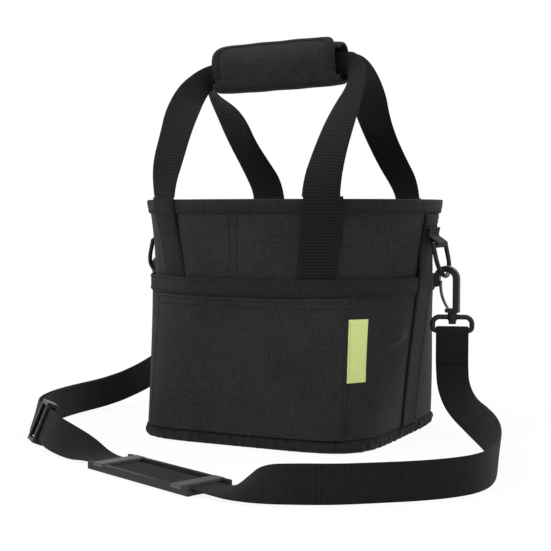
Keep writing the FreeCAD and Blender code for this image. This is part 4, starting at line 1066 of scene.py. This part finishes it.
# sewing lines, each a row of points and the directions out of the cloth
sewing = dict(rim=226.6, rimOut=1.62, rimIn=-5.12, base=(9.9, 3.75), centre=(-8.4, 0.2),
              centreHeights=(163.0, 224.0), band=(148.2, 159.8), bandEnd=0.01, inset=2.6, hem=9.0,
              hemEnd=0.03, foot=1.5, dividers=(-42.0, 42.0), dividerEnd=1.0, strip=0.86, stripEnd=2.0,
              tail=(-13.6, 13.6), tailHeights=(164.0, 236.0), tailBars=(165.0, 223.0), inside=3.0,
              insideEnd=2.0, insideTop=5.0, label=0.012, labelEnd=2.0)


def rowsIn(heights, inset, count):
    return np.linspace(heights[0] + inset, heights[1] - inset, count)


def lineUp(edge, rows, out):
    # up the wall along an edge, which is a function of the height
    return wallLine(edge(rows), rows, out)


def lineAcross(edges, height, out, count):
    # level, between two such edges
    ends = [edge(np.array(height)) for edge in edges]
    return wallLine(np.linspace(*ends, count), height, out)


def turnedIn(line):
    return line[0], -line[1]


def onTail(z):
    return tailLift(np.asarray(z)) + tails["thick"]


allRound = np.linspace(0, 2 * np.pi, 700)
onPocket, onPatch = pockets["panel"][1], pockets["top"][1]
bagLines = [wallLine(allRound, sewing["rim"], sewing["rimOut"]),
            turnedIn(wallLine(allRound, sewing["rim"], sewing["rimIn"])),
            wallLine(allRound, *sewing["base"])]
rows = np.linspace(*sewing["centreHeights"], 40)
bagLines += [lineUp(atX(x, side), rows, 0.0) for side in (-1, 1) for x in sewing["centre"]]
for start, end, side in halves.values():
    edges = [besideStrip(seam, sign, sewing["bandEnd"]) for seam, sign in ((start, 1), (end, -1))]
    bagLines += [lineAcross(edges, height, onPatch, 300) for height in sewing["band"]]
foot, top = pockets["patchHeights"]
rows = np.linspace(foot + sewing["foot"], top - sewing["inset"], 90)
half = pockets["patchHalf"] - sewing["inset"]
bagLines += [lineUp(atX(x, -1), rows, onPatch) for x in (-half, half)]
for drop in (sewing["inset"], sewing["hem"]):
    height = np.array(top - drop)
    ends = [patchEdge[sign](height) - sign * sewing["hemEnd"] for sign in (-1, 1)]
    bagLines.append(wallLine(np.linspace(*ends, 200), height, onPatch))
# the back pocket is sewn through in two lines, so that it makes three pockets
rows = np.linspace(foot + sewing["foot"], pockets["band"][0] - sewing["dividerEnd"], 90)
bagLines += [lineUp(atX(x, 1), rows, onPocket) for x in sewing["dividers"]]
rows = rowsIn(strips["heights"], sewing["stripEnd"], 140)
onStrip = stripLift(rows) + strips["thick"]
bagLines += [wallLine(seam + sign * stripAngle(rows) * sewing["strip"], rows, onStrip)
             for seam in (0.0, np.pi) for sign in (-1, 1)]
for name in tailX:
    edges = [tailAngle(name, offset) for offset in sewing["tail"]]
    rows = np.linspace(*sewing["tailHeights"], 60)
    bagLines += [lineUp(edge, rows, onTail(rows)) for edge in edges]
    bagLines += [lineAcross(edges, height, onTail(height), 16) for height in sewing["tailBars"]]
low, high = shell["insideHeights"]
half = shell["insideHalf"] - sewing["inside"]
rows = rowsIn(shell["insideHeights"], sewing["insideEnd"], 60)
for start, end, side in halves.values():
    edges = [atX(x, side) for x in (-half, 0.0, half)]
    seams = [lineUp(edge, rows, shell["inside"][0]) for edge in edges]
    seams += [lineAcross(edges[::2], height, shell["inside"][0], 120)
              for height in (low + sewing["inside"], high - sewing["insideTop"])]
    bagLines += [turnedIn(seam) for seam in seams]
addStitches("bagSewing", bagLines, thread, "bag", "binding_tape")
rows = rowsIn(pockets["label"], sewing["labelEnd"], 40)
labelLine = lineUp(labelEdge(sewing["label"]), rows, onPatch)
addStitches("labelSewing", [labelLine], paleThread, "bag", "label_fabric")
inset, above = flap["sewing"]
x, down = (edge + inwards * inset).T
flapLine = [flapPoints(x, down, above, make) for make in (gripPoints, gripNormals)]
addStitches("flapSewing", [flapLine], thread, "flap", "binding_tape")
for name, sign in sides:
    y = np.linspace(-ringLoop["rowHalf"], ringLoop["rowHalf"], 20)
    out = np.tile(np.array(ringLoop["rowOut"]) * np.array([sign, 1.0, 1.0]), (20, 1))
    lines = [(spread(sign * x, y, height) * mm, out) for height, x in ringLoop["rows"]]
    addStitches(name + "LoopSewing", lines, thread, "bag", "handle_webbing")
# the right end of the strap is sewn down in a crossed box on both faces
w, (low, high) = eyeLoop["boxHalf"], eyeLoop["boxRows"]
box = np.array([(-w, low), (w, low), (w, high), (-w, high), (-w, low), (w, high), (w, low), (-w, high)])
box = np.concatenate([np.linspace(*ends, eyeLoop["boxSteps"])[:-1] for ends in zip(box[:-1], box[1:])])
lines = []
for through in (-1.0, 1.0):
    local = spread(box[:, 0], through * (eyeArms["right"][0] + strap["thick"] / mm / 2), box[:, 1])
    outwards = toEye(local + np.array([0, through, 0]), 1.0) - toEye(local, 1.0)
    lines.append((toEye(local, 1.0), unitRows(outwards)))
addStitches("rightEyeSewing", lines, thread, "right_eye", "strap_webbing")
print("sewing made")


# stage: pale floor that keeps the shadow, white to the camera, and soft light from above and both sides
lights = [("keyLight", (-1.3, -1.9, 1.7), 1.8, 34.0), ("fillLight", (1.9, -1.0, 1.2), 1.6, 13.0),
          ("backLight", (0.3, 1.9, 1.6), 1.6, 18.0), ("topLight", (0.0, -0.2, 2.3), 1.6, 16.0)]
stage = dict(white=(1.0, 1.0, 1.0, 1.0), room=0.5, aim=(0.0, -0.05, 0.15), half=9.0, drop=-0.0006,
             floor={"Base Color": (0.92, 0.92, 0.92, 1.0), "Roughness": 0.9, "Specular IOR Level": 0.1},
             glow={"From Min": 0.35, "From Max": 1.1, "To Min": 0.92, "To Max": 1.0})


def seenRays(tree):
    # 1 for what the camera sees directly, in gloss or through glass
    path = tree.nodes.new("ShaderNodeLightPath")
    seen = calc(tree, "MAXIMUM", path.outputs["Is Camera Ray"], path.outputs["Is Glossy Ray"])
    return calc(tree, "MAXIMUM", seen, path.outputs["Is Transmission Ray"])


def farShare(tree, coords):
    # the floor's own glow: most of it near the bag, all of it far away, where it meets the white room
    away = tree.nodes.new("ShaderNodeVectorMath")
    away.operation = "LENGTH"
    tree.links.new(coords["Object"], away.inputs[0])
    share = tree.nodes.new("ShaderNodeMapRange")
    share.interpolation_type = "SMOOTHSTEP"
    return setInputs(tree, share, {"Value": away.outputs["Value"], **stage["glow"]}).outputs["Result"]


def mixShaders(tree, share, first, second, output):
    mix = tree.nodes.new("ShaderNodeMixShader")
    for socket, value in zip(mix.inputs, (share, first.outputs[0], second.outputs[0])):
        tree.links.new(value, socket)
    tree.links.new(mix.outputs[0], tree.nodes[output].inputs["Surface"])


def setRoom():
    world = bpy.data.worlds.new("paleRoom")
    world.use_nodes = True
    tree = world.node_tree
    light = setInputs(tree, tree.nodes["Background"], {"Color": stage["white"], "Strength": stage["room"]})
    white = setInputs(tree, tree.nodes.new("ShaderNodeBackground"), {"Color": stage["white"]})
    mixShaders(tree, seenRays(tree), light, white, "World Output")
    scene.world = world
    for name, place, size, power in lights:
        data = bpy.data.lights.new(name, "AREA")
        data.size = size
        data.energy = power
        lamp = bpy.data.objects.new(name, data)
        lamp.location = place
        x, y, z = np.array(stage["aim"]) - np.array(place)
        lamp.rotation_euler = (math.atan2(math.hypot(x, y), -z), 0.0, math.atan2(-x, y))
        scene.collection.objects.link(lamp)


def setFloor():
    material, tree, shader, coords = newFinish("paleFloor")
    setInputs(tree, shader, stage["floor"])
    glow = setInputs(tree, tree.nodes.new("ShaderNodeEmission"), {"Color": stage["white"]})
    share = calc(tree, "MULTIPLY", seenRays(tree), farShare(tree, coords))
    mixShaders(tree, share, shader, glow, "Material Output")
    h, z = stage["half"], stage["drop"]
    mesh = bpy.data.meshes.new("floor")
    mesh.from_pydata([(-h, -h, z), (h, -h, z), (h, h, z), (-h, h, z)], [], [(0, 1, 2, 3)])
    mesh.materials.append(material)
    floor = bpy.data.objects.new("floor", mesh)
    scene.collection.objects.link(floor)


setRoom()
setFloor()
scene.view_settings.view_transform = "Standard"
print("stage set")
